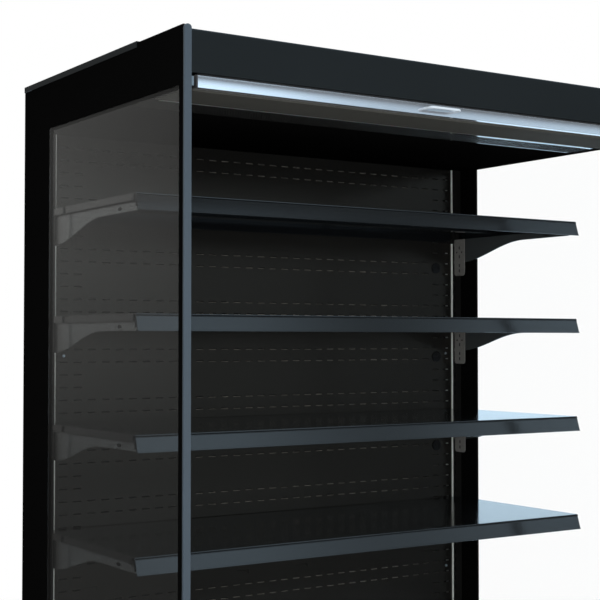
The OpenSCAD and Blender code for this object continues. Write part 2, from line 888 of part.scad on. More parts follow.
module canopy_fascia() {
    y1 = y_front + roof_front;
    t = sheet_t;
    color([0.13, 0.15, 0.16])
        along_x(-in_x, in_x)
            polygon(concat(
                quarter([y_front + fascia_r, fascia_z1 - fascia_r], fascia_r, 90),
                [[y_front, fascia_z0]],
                [[y_front + fascia_hem, fascia_z0]],
                [[y_front + fascia_hem, fascia_z0 + t]],
                [[y_front + t, fascia_z0 + t]],
                [[y_front + t, fascia_z1 - fascia_r]],
                [[y_front + fascia_r, fascia_z1 - t]],
                [[y1 - t, fascia_z1 - t]],
                [[y1 - t, roof_z]],
                [[y1, roof_z]],
                [[y1, fascia_z1]]
            ));
}

module canopy_underside() {
    t = sheet_t;
    color([0.19, 0.19, 0.18])
        along_x(-in_x, in_x)
            polygon([
                [under_y0, under_z - t],
                [under_y1, under_z - t],
                [under_y1, under_z + under_lip_rear],
                [under_y1 - t, under_z + under_lip_rear],
                [under_y1 - t, under_z],
                [under_y0 + t, under_z],
                [under_y0 + t, under_z + under_lip_front],
                [under_y0, under_z + under_lip_front]
            ]);
}

module led_housing() {
    w = lamp_wall;
    color([0.75, 0.76, 0.77])
        along_x(-lamp_x, lamp_x)
            polygon([
                [under_y1, lamp_z0],
                [under_y1 + w, lamp_z0],
                [under_y1 + w, lamp_z0 + lamp_h - w],
                [under_y1 + lamp_d - w, lamp_z0 + lamp_h - w],
                [under_y1 + lamp_d - w, lamp_z0],
                [under_y1 + lamp_d, lamp_z0],
                [under_y1 + lamp_d, lamp_z0 + lamp_h],
                [under_y1, lamp_z0 + lamp_h]
            ]);
}

module led_diffuser() {
    color([0.96, 0.97, 0.95])
        wide(lamp_x, under_y1 + lamp_wall, under_y1 + lamp_d - lamp_wall, lamp_z0 - lamp_wall,
             lamp_z0 + lamp_h / 2);
}

module air_honeycomb() {
    cell_d = cell_w / cos(30);
    row_gap = cell_pitch * sin(60);
    x0 = -(cell_cols - 0.5) * cell_pitch / 2;
    yc = (honey_y0 + honey_y1) / 2 - (cell_rows - 1) / 2 * row_gap;
    color([0.28, 0.29, 0.29])
        translate([0, 0, ceiling_z])
            linear_extrude(honey_h)
                difference() {
                    translate([-in_x, honey_y0])
                        square([2 * in_x, honey_d]);
                    for (r = [0:cell_rows - 1])
                        for (c = [0:cell_cols - 1])
                            translate([x0 + (c + (r % 2) / 2) * cell_pitch, yc + r * row_gap])
                                rotate(30)
                                    circle(d = cell_d, $fn = hex);
                }
}

module ceiling_panel() {
    color([0.05, 0.05, 0.05]) {
        wide(in_x, honey_y1, up_y, ceiling_z, ceiling_z + sheet_t);
        wide(panel_l2, up_y - eps, back_y, ceiling_z, ceiling_z + sheet_t);
        wide(in_x, honey_y1, honey_y1 + sheet_t, ceiling_z + sheet_t, ceiling_z + honey_h);
    }
}

// Night blind

module blind_brackets() {
    color([0.6, 0.61, 0.62])
        both_sides() {
            slab(blind_x, in_x, roller_y - blind_plate_d / 2, roller_y + blind_plate_d / 2,
                 roller_z - blind_plate_h / 2, roller_z + roof_clear);
            rod_x(pin_d, tube_x - plug_l, blind_x, roller_y, roller_z);
            slab(in_x - stop_w, in_x, bar_y + bar_d / 2 - stop_d / 2, bar_y + bar_d / 2 + stop_d / 2,
                 bar_z0 + (bar_h - stop_h) / 2, bar_z1 - (bar_h - stop_h) / 2);
        }
}

module blind_tube() {
    color([0.7, 0.71, 0.72])
        difference() {
            rod_x(tube_d, -tube_x, tube_x, roller_y, roller_z);
            rod_x(tube_d - 2 * tube_wall, -tube_x - eps, tube_x + eps, roller_y, roller_z);
        }
}

module blind_end_plugs() {
    color([0.15, 0.15, 0.16])
        both_sides()
            difference() {
                rod_x(tube_d - 2 * tube_wall - 2 * slip, tube_x - plug_l, tube_x, roller_y, roller_z);
                rod_x(pin_d + 2 * pin_clear, tube_x - plug_l - eps, tube_x + eps, roller_y, roller_z);
            }
}

module blind_fabric_roll() {
    color([0.83, 0.84, 0.85])
        difference() {
            rod_x(roll_d, -fabric_x, fabric_x, roller_y, roller_z);
            rod_x(tube_d + 2 * slip, -fabric_x - eps, fabric_x + eps, roller_y, roller_z);
        }
}

module blind_fabric_drop() {
    color([0.83, 0.84, 0.85])
        wide(fabric_x, fabric_y, fabric_y + fabric_t, bar_z1, roller_z);
}

module blind_bar() {
    y1 = bar_y + bar_d;
    w = bar_wall;
    color([0.82, 0.86, 0.92])
        along_x(-bar_x + bar_cap_t, bar_x - bar_cap_t)
            difference() {
                polygon(concat(
                    quarter([bar_y + bar_r, bar_z1 - bar_r], bar_r, 90),
                    quarter([bar_y + bar_r, bar_z0 + bar_r], bar_r, 180),
                    [[y1, bar_z0]],
                    [[y1, bar_z1]]
                ));
                translate([bar_y + w, bar_z0 + bar_r])
                    square([bar_d - 2 * w, bar_h - 2 * bar_r]);
            }
}

module blind_bar_caps() {
    y1 = bar_y + bar_d;
    color([0.2, 0.2, 0.21])
        both_sides()
            along_x(bar_x - bar_cap_t, bar_x)
                polygon(concat(
                    quarter([bar_y + bar_r, bar_z1 - bar_r], bar_r, 90),
                    quarter([bar_y + bar_r, bar_z0 + bar_r], bar_r, 180),
                    [[y1, bar_z0]],
                    [[y1, bar_z1]]
                ));
}

module blind_handle() {
    x0 = -handle_left - handle_l / 2 + handle_rod / 2;
    x1 = -handle_left + handle_l / 2 - handle_rod / 2;
    y = y_front - handle_reach + handle_rod / 2;
    color([0.85, 0.87, 0.9]) {
        rod_x(handle_rod, x0, x1, y, handle_z);
        for (x = [x0, x1]) {
            rod_y(handle_rod, x, y, bar_y, handle_z);
            translate([x, y, handle_z])
                sphere(d = handle_rod);
        }
    }
}

// Shelf brackets

// The underside of a bracket arm: level at the front, then a smooth step down to its root
function arm_edge() = [for (i = [0:curve_steps])
    let (t = i / curve_steps)
    [hook_y0 - arm_curve * (1 - t) + hook_plate_w / 2,
     -arm_low_front - (arm_low_rear - arm_low_front) * (1 - cos(180 * t)) / 2]];

module bracket_arm() {
    y1 = hook_y0 + hook_plate_w / 2;
    along_x(arm_x0, arm_x0 + arm_t)
        difference() {
            polygon(concat(
                [[y1, -arm_drop]],
                [[arm_y0, -arm_drop]],
                [[arm_y0, -arm_low_front]],
                arm_edge()
            ));
            translate([arm_y0 + arm_hole_set, -(arm_drop + arm_low_front) / 2]) {
                circle(d = arm_hole_d);
                translate([0, -arm_hole_d / 2])
                    square([arm_hole_l, arm_hole_d]);
                translate([arm_hole_l, 0])
                    circle(d = arm_hole_d);
            }
        }
}

module bracket_arms() {
    color([0.16, 0.17, 0.18])
        for (i = [0:shelf_count - 1])
            translate([0, 0, shelf_z(i)])
                both_sides()
                    bracket_arm();
}

// A plate that hooks into an upright at the slots in at, with its own slots at the places in keys
module hook_plate(low, at, keys) {
    mid = hook_y0 + hook_plate_w / 2;
    along_x(hook_x0, hook_x0 + hook_plate_t) {
        difference() {
            polygon(concat(
                [[hook_y1, -arm_drop]],
                [[hook_y0, -arm_drop]],
                quarter([hook_y0 + hook_round, -low + hook_round], hook_round, 180),
                quarter([hook_y1 - hook_round, -low + hook_round], hook_round, 270)
            ));
            for (m = keys)
                translate([mid - key_slot_w / 2, -hook_first - m * hook_pitch - key_slot_h / 2])
                    square([key_slot_w, key_slot_h]);
            for (s = [-1, 1])
                translate([mid + s * hook_plate_w / 4, -hook_first - hook_pitch])
                    circle(d = key_hole_d);
        }
        for (m = at)
            translate([hook_y1, -hook_first - m * hook_pitch - hook_slot_h / 2])
                hook_2d();
    }
}

// One hook: a neck through the slot and a lip that hangs behind the upright's face
module hook_2d() {
    neck = fit_gap + up_wall + fit_gap;
    translate([-eps, 0])
        square([neck + hook_lip + eps, hook_neck_h]);
    translate([neck, -hook_drop_h])
        square([hook_lip, hook_drop_h + eps]);
}

module hook_plates() {
    color([0.5, 0.5, 0.49])
        for (i = [0:shelf_count - 1])
            translate([0, 0, shelf_z(i)]) {
                hook_plate(hook_leg, hook_at_right, key_at_right);
                mirror([1, 0, 0])
                    hook_plate(arm_low_rear, hook_at_left, key_at_left);
            }
}

// Shelves

module shelf(i) {
    rib_x = arm_x0 + arm_t / 2;
    color([0.14, 0.15, 0.16])
        translate([0, 0, shelf_z(i)]) {
            wide(shelf_l2, shelf_body_y, shelf_y1, -shelf_t, 0);
            wide(shelf_l2, shelf_body_y, shelf_body_y + shelf_t, -front_flange, 0);
            wide(flange_x, shelf_y1 - shelf_t, shelf_y1, -rear_flange, 0);
            for (a = stiff_at) {
                y = shelf_body_y + a * (shelf_y1 - shelf_body_y);
                wide(flange_x, y - stiff_w / 2, y + stiff_w / 2, -stiff_h, 0);
            }
            both_sides() {
                slab(shelf_l2 - shelf_t, shelf_l2, shelf_y0 + side_flange_set, shelf_y1, -side_flange, 0);
                slab(rib_x - rib_w / 2, rib_x + rib_w / 2, arm_y0, hook_y0, -arm_drop, 0);
            }
        }
}

module shelf_1() {
    shelf(0);
}

module shelf_2() {
    shelf(1);
}

module shelf_3() {
    shelf(2);
}

module shelf_4() {
    shelf(3);
}

module shelf_5() {
    shelf(4);
}

// A place on a price rail's sloping face: this far down it, and this far out of it
function rail_at(down, out) = [
    shelf_y0 - down * sin(rail_tilt) - out * cos(rail_tilt),
    -down * cos(rail_tilt) + out * sin(rail_tilt)
];

module price_rail(i) {
    leg_y = shelf_body_y - rail_t;
    inner = (rail_t * cos(rail_tilt) - (leg_y - shelf_y0)) / sin(rail_tilt);
    join = rail_at(max(inner, rail_t), -rail_t);
    color([0.2, 0.22, 0.25])
        translate([0, 0, shelf_z(i)])
            along_x(-shelf_l2, shelf_l2)
                polygon([
                    rail_at(0, 0),
                    rail_at(rail_bead, 0),
                    rail_at(rail_bead, -rail_step),
                    rail_at(rail_face - rail_lip, -rail_step),
                    rail_at(rail_face - rail_lip, 0),
                    rail_at(rail_face, 0),
                    rail_at(rail_face, -rail_t),
                    join,
                    [leg_y, join[1]],
                    [leg_y, -front_flange],
                    [shelf_body_y, -front_flange],
                    [shelf_body_y, 0]
                ]);
}

module price_rail_1() {
    price_rail(0);
}

module price_rail_2() {
    price_rail(1);
}

module price_rail_3() {
    price_rail(2);
}

module price_rail_4() {
    price_rail(3);
}

module price_rail_5() {
    price_rail(4);
}

// Deck and cooling parts

module deck_rails() {
    z0 = deck_under_z - deck_rail_h;
    color([0.3, 0.31, 0.32]) {
        wide(in_x, deck_rail_y0, deck_rail_y0 + deck_rail_w, z0, deck_under_z);
        wide(in_x, deck_rail_y0 - ledge_d, deck_rail_y0, z0, grille_z);
        wide(in_x, deck_rail_y1, deck_rail_y1 + deck_rail_w, z0, deck_under_z);
    }
}

// A folded pan from x0 to x1
module deck_pan(x0, x1) {
    color([0.15, 0.16, 0.17])
        difference() {
            slab(x0, x1, deck_y0, deck_y1, deck_z - deck_edge, deck_z);
            slab(x0 - eps, x1 + eps, deck_y0 + sheet_t, deck_y1 - sheet_t,
                 deck_z - deck_edge - eps, deck_under_z);
        }
}

module deck_pan_left() {
    deck_pan(-in_x + deck_gap, -deck_gap / 2);
}

module deck_pan_right() {
    deck_pan(deck_gap / 2, in_x - deck_gap);
}

module air_return_grille() {
    slot_d = (grille_y1 - grille_y0 - 2 * grille_rim - (grille_row_count - 1) * grille_bar) / grille_row_count;
    n = floor((2 * in_x - 2 * grille_rim - grille_slot_w) / grille_slot_pitch + eps);
    color([0.14, 0.15, 0.15])
        translate([0, 0, grille_z])
            linear_extrude(grille_t)
                difference() {
                    translate([-in_x + deck_gap, grille_y0])
                        square([2 * (in_x - deck_gap), grille_y1 - grille_y0]);
                    for (r = [0:grille_row_count - 1])
                        for (k = [0:n])
                            translate([(k - n / 2) * grille_slot_pitch - grille_slot_w / 2,
                                       grille_y0 + grille_rim + r * (slot_d + grille_bar)])
                                square([grille_slot_w, slot_d]);
                }
}

module fan_plate() {
    color([0.5, 0.51, 0.52])
        along_y(fan_y, fan_y + sheet_t)
            difference() {
                translate([-in_x, tub_in_z])
                    square([2 * in_x, fan_plate_top - tub_in_z]);
                for (s = [-1, 1])
                    translate([s * fan_x, fan_z])
                        circle(d = fan_hole_d);
            }
}

module fan_motors() {
    arm_l = fan_hole_d / 2 + spider_lap;
    color([0.2, 0.2, 0.22])
        both_sides() {
            rod_y(motor_d, fan_x, motor_front, motor_front + motor_l, fan_z);
            rod_y(shaft_d, fan_x, fan_y - hub_gap - hub_l, motor_front, fan_z);
            for (a = [0:spider_count - 1])
                translate([fan_x, motor_front, fan_z])
                    rotate([0, 45 + a * 360 / spider_count, 0])
                        translate([0, 0, -spider_t / 2])
                            cube([arm_l, spider_t, spider_t]);
        }
}

// A rotor with flat pitched blades about an axis along Y
module fan_rotor(x) {
    mid = fan_y - hub_gap - hub_l / 2;
    color([0.1, 0.1, 0.11])
        difference() {
            union() {
                rod_y(fan_hub_d, x, mid - hub_l / 2, mid + hub_l / 2, fan_z);
                for (a = [0:blade_count - 1])
                    translate([x, mid, fan_z])
                        rotate([0, a * 360 / blade_count, 0])
                            rotate([blade_pitch, 0, 0])
                                translate([fan_hub_d / 4, -blade_t / 2, -blade_w / 2])
                                    cube([fan_d / 2 - fan_hub_d / 4, blade_t, blade_w]);
            }
            rod_y(shaft_d + 2 * shaft_clear, x, mid - hub_l, mid + hub_l, fan_z);
        }
}

module fan_rotor_left() {
    fan_rotor(-fan_x);
}

module fan_rotor_right() {
    fan_rotor(fan_x);
}

module evaporator_coil() {
    fins = floor((coil_w - 2 * coil_end_t) / fin_pitch);
    color([0.72, 0.73, 0.74]) {
        for (k = [0:fins])
            translate([(k - fins / 2) * fin_pitch, 0, 0])
                slab(-fin_t / 2, fin_t / 2, coil_y0, coil_y0 + coil_d, coil_z0, coil_z0 + coil_h);
        both_sides() {
            slab(coil_w / 2 - coil_end_t, coil_w / 2, coil_y0, coil_y0 + coil_d, tub_in_z, coil_z0 + coil_h);
            slab(coil_w / 2 - coil_foot_w, coil_w / 2, coil_y0, coil_y0 + coil_d, tub_in_z,
                 tub_in_z + coil_end_t);
        }
        for (r = [1:coil_tubes[0]])
            for (c = [1:coil_tubes[1]])
                rod_x(coil_tube_d, -coil_w / 2, coil_w / 2,
                      coil_y0 + c * coil_col, coil_z0 + r * coil_row);
    }
}

// An open pipe from the coil's end down through the tub floor
module pipe_stub(d, y) {
    difference() {
        union() {
            rod_z(d, stub_x, y, stub_z, stub_top + d / 2);
            rod_z(d + 2 * collar_t, stub_x, y, collar_z, tub_in_z);
            rod_x(stub_link_d, coil_w / 2, stub_x, y, stub_top);
        }
        rod_z(d - 2 * stub_wall, stub_x, y, stub_z - eps, stub_top - stub_link_d);
    }
}

module pipe_stubs() {
    color([0.72, 0.45, 0.3]) {
        pipe_stub(suction_d, stub_y[0]);
        pipe_stub(liquid_d, stub_y[1]);
    }
}

module drain_stub() {
    color([0.55, 0.56, 0.57])
        difference() {
            union() {
                rod_z(drain_d, drain_x, drain_y, stub_z, tub_in_z);
                rod_z(drain_d + 2 * collar_t, drain_x, drain_y, collar_z, tub_in_z);
                rod_z(drain_d + 2 * drain_lip, drain_x, drain_y, tub_in_z, tub_in_z + drain_lip_t);
            }
            rod_z(drain_d - 2 * drain_wall, drain_x, drain_y, stub_z - eps, tub_in_z + drain_lip_t + eps);
        }
}

base_rails();
leveling_feet();
foot_lock_nuts();
kick_plate();
tub_floor();
tub_front_wall();
front_panel();
front_bumper();
rear_wall();
roof_panel();
roof_cap();
end_frame_left();
end_frame_right();
end_glass();
glass_gaskets();
end_trims();
uprights();
upright_edges();
back_panel_upper();
back_panel_middle();
back_panel_lower();
back_panel_screws();
shelf_light_sockets();
canopy_fascia();
canopy_underside();
led_housing();
led_diffuser();
air_honeycomb();
ceiling_panel();
blind_brackets();
blind_tube();
blind_end_plugs();
blind_fabric_roll();
blind_fabric_drop();
blind_bar();
blind_bar_caps();
blind_handle();
bracket_arms();
hook_plates();
shelf_1();
shelf_2();
shelf_3();
shelf_4();
shelf_5();
price_rail_1();
price_rail_2();
price_rail_3();
price_rail_4();
price_rail_5();
deck_rails();
deck_pan_left();
deck_pan_right();
air_return_grille();
fan_plate();
fan_motors();
fan_rotor_left();
fan_rotor_right();
evaporator_coil();
pipe_stubs();
drain_stub();
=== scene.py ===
"""Looks of an open-front refrigerated display cabinet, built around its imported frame.

The file is laid out as an add-on: property groups hold sizes and colours, each operator finishes
one group of pieces, and main() runs them in order. All lengths are metres in the frame's own axes:
X to the shopper's right, Y to the rear, Z up.
"""

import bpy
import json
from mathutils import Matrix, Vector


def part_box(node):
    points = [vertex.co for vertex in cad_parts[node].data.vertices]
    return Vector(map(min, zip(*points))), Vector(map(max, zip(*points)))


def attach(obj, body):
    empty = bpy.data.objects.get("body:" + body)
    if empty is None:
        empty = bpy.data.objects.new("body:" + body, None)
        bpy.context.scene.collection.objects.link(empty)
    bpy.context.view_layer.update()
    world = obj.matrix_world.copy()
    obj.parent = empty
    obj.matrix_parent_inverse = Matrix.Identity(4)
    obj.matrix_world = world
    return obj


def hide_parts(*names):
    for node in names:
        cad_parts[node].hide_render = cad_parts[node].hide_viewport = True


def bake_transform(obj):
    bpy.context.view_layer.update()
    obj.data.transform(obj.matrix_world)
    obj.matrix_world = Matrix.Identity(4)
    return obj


bl_info = {
    "name": "Open-Front Display Cabinet",
    "version": (1, 0, 0),
    "blender": (4, 5, 0),
    "location": "View3D > Sidebar > Cabinet",
    "description": "Finishes the cabinet's pieces and sets up its studio",
    "category": "Object",
}

import json
import math

import bmesh
import bpy
from bpy.props import FloatProperty, FloatVectorProperty, PointerProperty
from mathutils import Vector

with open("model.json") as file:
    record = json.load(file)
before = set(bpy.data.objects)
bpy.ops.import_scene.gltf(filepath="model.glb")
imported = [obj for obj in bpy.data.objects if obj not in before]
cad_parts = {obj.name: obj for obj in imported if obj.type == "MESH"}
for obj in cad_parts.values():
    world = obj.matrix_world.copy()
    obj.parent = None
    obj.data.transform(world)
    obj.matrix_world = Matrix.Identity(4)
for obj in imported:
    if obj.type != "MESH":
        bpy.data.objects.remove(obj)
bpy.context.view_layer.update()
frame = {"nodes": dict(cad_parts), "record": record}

NODES = frame["nodes"]
RECORD = frame["record"]
SLOT_OF = {part["node"]: part["material_slot"] for part in RECORD["subparts"]}
BODY_OF = {node: body for body, nodes in RECORD["behaviour"]["bodies"].items() for node in nodes}
CABINET = "cabinet"
SIDES = (-1, 1)
SHELVES = range(1, 6)
BACK_PANELS = ("back_panel_upper", "back_panel_middle", "back_panel_lower")
SLOT_ROWS = 47
LIFT_COLUMNS = (2.5, 14.0)  # lifting slots of the middle back panel, in slot columns from its middle
LIFT_ROWS = 2.5  # the same slots, in slot rows above that panel's lower edge
HOOK_SLOTS = (0.0125, 0.0375, 0.0625, 0.0775)  # below a hook plate's first hook; a left plate has two
JOINTS, JOINT_SCREWS = 2, 7  # joint strips on the rear wall, and screws along each side of one
# Painted light on the slot lips: bright between these X, and painted shade in the panel's colour beyond them.
LIP_LIGHT_LEFT, LIP_LIGHT_RIGHT = (-0.3, -0.2), (0.4, 0.57)  # X over which the slot lips turn bright, and dull again
MERGE = 1e-6
FLAT, SHARP, SQUARE = math.radians(0.5), math.radians(35), math.radians(90)


# Settings

def linear(red, green, blue):
    """A display colour of 0 to 255 as scene-linear values."""
    shares = (channel / 255 for channel in (red, green, blue))
    return tuple(s / 12.92 if s <= 0.04045 else ((s + 0.055) / 1.055) ** 2.4 for s in shares)


def length(label, text, default):
    """A length setting in metres."""
    return FloatProperty(name=label, description=text, default=default, min=0.0, unit="LENGTH")


def paint(label, red, green, blue):
    """A colour setting, written as a display colour."""
    return FloatVectorProperty(
        name=label, description=f"Colour of the {label.lower()}", subtype="COLOR",
        default=linear(red, green, blue), min=0.0, max=1.0)


class CabinetSizes(bpy.types.PropertyGroup):
    """Sizes of what the finishing adds to the frame."""

    sheet_edge: length("Sheet Edge", "Rounding of folded sheet edges", 0.0005)
    panel_edge: length("Panel Edge", "Rounding of the end walls' and panels' edges", 0.001)
    top_rise: length("Top Rise", "Rise of the end walls' and fascia's top edge at the front", 0.0045)
    trim_round: length("Trim Round", "Corner radius at the top of an end wall's front strip", 0.0075)
    pane_edge: length("Pane Edge", "Width of the black border on a pane's front edge", 0.011)
    pane_film: length("Pane Film", "Thickness of the black border on a pane", 0.0004)
    cap_lip: length("Cap Lip", "Thickness of the roof cap's turned-down lips", 0.0012)
    cap_drop: length("Cap Drop", "Reach of the roof cap's lips below its top", 0.013)
    joint_strip: length("Joint Strip", "Width of the strips over the rear wall's joints", 0.045)
    joint_thick: length("Joint Strip Thickness", "Thickness of the strips over the rear wall's joints", 0.0012)
    joint_end: length("Joint Screw Place", "Distance of a joint strip's first screw from its end", 0.060)
    bead: length("Rail Bead", "Height of the bead along a price rail's top", 0.0022)
    groove: length("Rail Groove", "Height of the groove below a price rail's bead", 0.002)
    groove_depth: length("Groove Depth", "Depth of the groove below a price rail's bead", 0.0008)
    bar_gap: length("Bar Gap", "Set-down of the pull bar's top below its end caps", 0.0015)
    bar_bow: length("Bar Bow", "Set-back of the pull bar's face at its top", 0.0005)
    handle_bend: length("Handle Bend", "Bend radius of the blind's pull handle", 0.010)
    fabric: length("Fabric", "Thickness of the night blind's fabric", 0.00025)
    cell_pitch: length("Cell Pitch", "Distance between honeycomb cells", 0.0065)
    cell_wall: length("Cell Wall", "Wall of a honeycomb cell", 0.0004)
    comb_rim: length("Honeycomb Rim", "Width of the frame round the honeycomb", 0.003)
    comb_lip: length("Honeycomb Lip", "Width of the honeycomb frame's front", 0.011)
    slot_length: length("Slot Length", "Length of an air slot in the back panels", 0.020)
    slot_height: length("Slot Height", "Height of an air slot", 0.0025)
    slot_column: length("Slot Column", "Distance between columns of air slots", 0.03625)
    slot_row: length("Slot Row", "Distance between rows of air slots", 0.030)
    slot_first: length("First Slot Row", "Drop of the first row of air slots below the back wall's top", 0.0423)
    slot_rim: length("Slot Rim", "Radius of the pressed rim round an air slot", 0.00045)
    socket_seat: length("Socket Seat", "Distance that air slots keep from a light socket's rim", 0.006)
    # Painted highlight: a near-white strip beside each upright stands in for the light along the upright's edge, and
    # it breaks behind each shelf's end.
    edge_strip: length("Edge Strip", "Width of the bright strip beside an upright", 0.0024)
    edge_set: length("Edge Strip Place", "Distance of a bright strip from the upright", 0.0008)
    edge_break: length("Edge Strip Break", "Height of a bright strip's break behind a shelf's end", 0.03)
    lift_tab: length("Lift Tab", "Set-back of the tab behind a lifting slot, and its thickness", 0.0012)
    lift_tab_length: length("Lift Tab Length", "Length of the tab behind a lifting slot", 0.032)
    lift_tab_height: length("Lift Tab Height", "Height of the tab behind a lifting slot", 0.011)
    lift_tab_gap: length("Lift Tab Gap", "Shortening of a lifting slot's tab at its free top edge", 0.002)
    screw_head: length("Screw Head", "Diameter of a panel screw's head", 0.008)
    screw_shank: length("Screw Shank", "Diameter of a panel screw's shank", 0.004)
    screw_recess: length("Screw Recess", "Width of a panel screw's cross recess", 0.0012)
    screw_depth: length("Screw Recess Depth", "Depth of a panel screw's cross recess", 0.0013)
    plug_set: length("Plug Place", "Distance of an arm's plug behind the arm's front end", 0.080)
    plug_drop: length("Plug Drop", "Drop of an arm's plug below the shelf's top", 0.027)
    plug_length: length("Plug Length", "Length of the plug in an arm's oval hole", 0.020)
    plug_height: length("Plug Height", "Height of the plug in an arm's oval hole", 0.0075)
    plug_thick: length("Plug Thickness", "Thickness of the arm that a plug sits in", 0.003)
    hook_first: length("First Hook", "Drop of a hook plate's first hook below the shelf's top", 0.030)
    hook_row: length("Hole Row", "Drop of a hook plate's round holes below its first hook", 0.025)
    hook_plate: length("Hook Plate", "Thickness of a hook plate", 0.0025)
    # The dark fills in a hook plate's slots and holes are painted shade, where the openings only show shade behind
    # them.
    hook_proud: length("Slot Fill", "Rise of the dark fill in a hook plate's slots", 0.0002)
    hook_slot: length("Slot Fill Height", "Height of the dark fill in a hook plate's slot", 0.0095)
    hook_slot_width: length("Slot Fill Width", "Width of the dark fill in a hook plate's slot", 0.0044)
    hook_hole: length("Hole Fill", "Diameter of the dark fill in a hook plate's round hole", 0.0052)
    hook_hole_set: length("Hole Place", "Distance of a hook plate's holes from its middle", 0.01075)
    fabric_turns: FloatProperty(
        name="Fabric Turns", description="Turns of fabric wound on the roller", default=10.5, min=1.0)


class CabinetColours(bpy.types.PropertyGroup):
    """Colours of the record's material slots, and after them those of the scene's own finishes."""

    insulated_panel: paint("Insulated Panel", 58, 60, 62)
    end_frame: paint("End Frame", 9, 9, 9)
    clear_glass: paint("Clear Glass", 254, 255, 255)
    gasket: paint("Gasket", 14, 14, 14)
    end_trim: paint("End Trim", 59, 69, 78)
    galvanised: paint("Galvanised Steel", 158, 162, 165)
    zinc: paint("Zinc Plating", 172, 174, 177)
    black_plastic: paint("Black Plastic", 20, 20, 21)
    fascia_paint: paint("Fascia Paint", 25, 29, 31)
    base_paint: paint("Base Paint", 40, 44, 47)
    bumper: paint("Bumper", 22, 22, 23)
    back_paint: paint("Back Panel Paint", 24, 24, 23)
    upright_paint: paint("Upright Paint", 24, 24, 23)
    # Painted highlight along the uprights' edges.
    edge_strip: paint("Edge Strip", 230, 235, 230)
    screw: paint("Panel Screw", 226, 228, 230)
    underside_paint: paint("Underside Paint", 68, 68, 65)
    lamp_housing: paint("Lamp Housing", 190, 192, 194)
    diffuser: paint("Lamp Diffuser", 230, 232, 228)
    honeycomb: paint("Honeycomb", 26, 26, 25)
    ceiling_paint: paint("Ceiling Paint", 10, 10, 10)
    tube: paint("Roller Tube", 186, 189, 192)
    blind_fabric: paint("Blind Fabric", 58, 60, 62)
    bar: paint("Pull Bar", 236, 239, 245)
    bar_cap: paint("Bar Cap", 52, 52, 54)
    handle: paint("Pull Handle", 192, 203, 213)
    arm_paint: paint("Bracket Arm Paint", 58, 62, 63)
    hook_zinc: paint("Hook Plate", 122, 121, 118)
    shelf_paint: paint("Shelf Paint", 15, 17, 19)
    price_rail: paint("Price Rail", 26, 29, 31)
    grille_paint: paint("Grille Paint", 34, 36, 37)
    motor: paint("Fan Motor", 46, 46, 50)
    rotor: paint("Fan Rotor", 24, 24, 26)
    coil: paint("Cooling Coil", 180, 183, 186)
    copper: paint("Copper Pipe", 184, 115, 76)
    drain: paint("Drain Stub", 142, 144, 147)
    # Painted highlight: the slot lips are far lighter than the panel they are pressed from, standing in for the light
    # they catch.
    slot_rim: paint("Slot Rim", 146, 142, 134)
    # Painted shade: near-black in the price rails' shallow groove, much darker than the rails' own colour.
    rail_groove: paint("Price Rail Groove", 8, 8, 9)
    comb_frame: paint("Honeycomb Frame", 196, 202, 206)
    dust: paint("Dust", 150, 146, 138)


class CabinetStage(bpy.types.PropertyGroup):
    """The studio: floor, light and camera."""

    floor: paint("Floor", 236, 236, 234)
    floor_radius: length("Floor Radius", "Radius of the floor", 7.0)
    fade_start: length("Fade Start", "Distance at which the floor starts to turn white", 1.2)
    fade_end: length("Fade End", "Distance at which the floor is all white", 3.0)
    fill: FloatProperty(name="Fill", description="Plain light from all round", default=0.55, min=0.0)
    lens: FloatProperty(name="Lens", description="Focal length in millimetres", default=80.1, min=1.0)
    place: FloatVectorProperty(
        name="Camera Place", description="Where the camera stands", subtype="TRANSLATION",
        unit="LENGTH", default=(-1.8559, -2.6207, 1.399))
    turn: FloatProperty(
        name="Camera Turn", description="Turn of the camera to the right", subtype="ANGLE",
        default=math.radians(33.36))
    tilt: FloatProperty(
        name="Camera Tilt", description="Tilt of the camera upwards", subtype="ANGLE",
        default=math.radians(1.74))


def sizes():
    """The size settings of the scene."""
    return bpy.context.scene.cabinet_sizes


def colour_of(slot):
    """The colour setting of a material slot, with full opacity."""
    return (*getattr(bpy.context.scene.cabinet_colours, slot), 1.0)


# Node trees

FLOAT, COLOUR, VECTOR = "NodeSocketFloat", "NodeSocketColor", "NodeSocketVector"
GEOMETRY, MATERIAL, INTEGER = "NodeSocketGeometry", "NodeSocketMaterial", "NodeSocketInt"
WHITE, GREY, SOOT = (1.0, 1.0, 1.0, 1.0), (0.5, 0.5, 0.5, 1.0), (0.01, 0.01, 0.011, 1.0)


def add(tree, kind, values=None, **settings):
    """A new node with its settings; each input takes a value or the socket that feeds it."""
    node = tree.nodes.new(kind)
    for key, value in settings.items():
        setattr(node, key, value)
    for key, value in (values or {}).items():
        if isinstance(value, bpy.types.NodeSocket):
            tree.links.new(value, node.inputs[key])
        else:
            node.inputs[key].default_value = value
    return node


def math_node(tree, operation, a, b=0.0):
    """The output of one arithmetic step."""
    return add(tree, "ShaderNodeMath", {0: a, 1: b}, operation=operation).outputs[0]


def times(tree, first, *others):
    """The product of values or sockets."""
    for other in others:
        first = math_node(tree, "MULTIPLY", first, other)
    return first


def minus(tree, a, b):
    """The difference of two values or sockets."""
    return math_node(tree, "SUBTRACT", a, b)


def over(tree, a, b):
    """The quotient of two values or sockets."""
    return math_node(tree, "DIVIDE", a, b)


def apart(tree, a, b):
    """The distance between two values or sockets."""
    return math_node(tree, "ABSOLUTE", minus(tree, a, b))


def vector(tree, x=0.0, y=0.0, z=0.0):
    """A vector from values or sockets."""
    return add(tree, "ShaderNodeCombineXYZ", {0: x, 1: y, 2: z}).outputs[0]


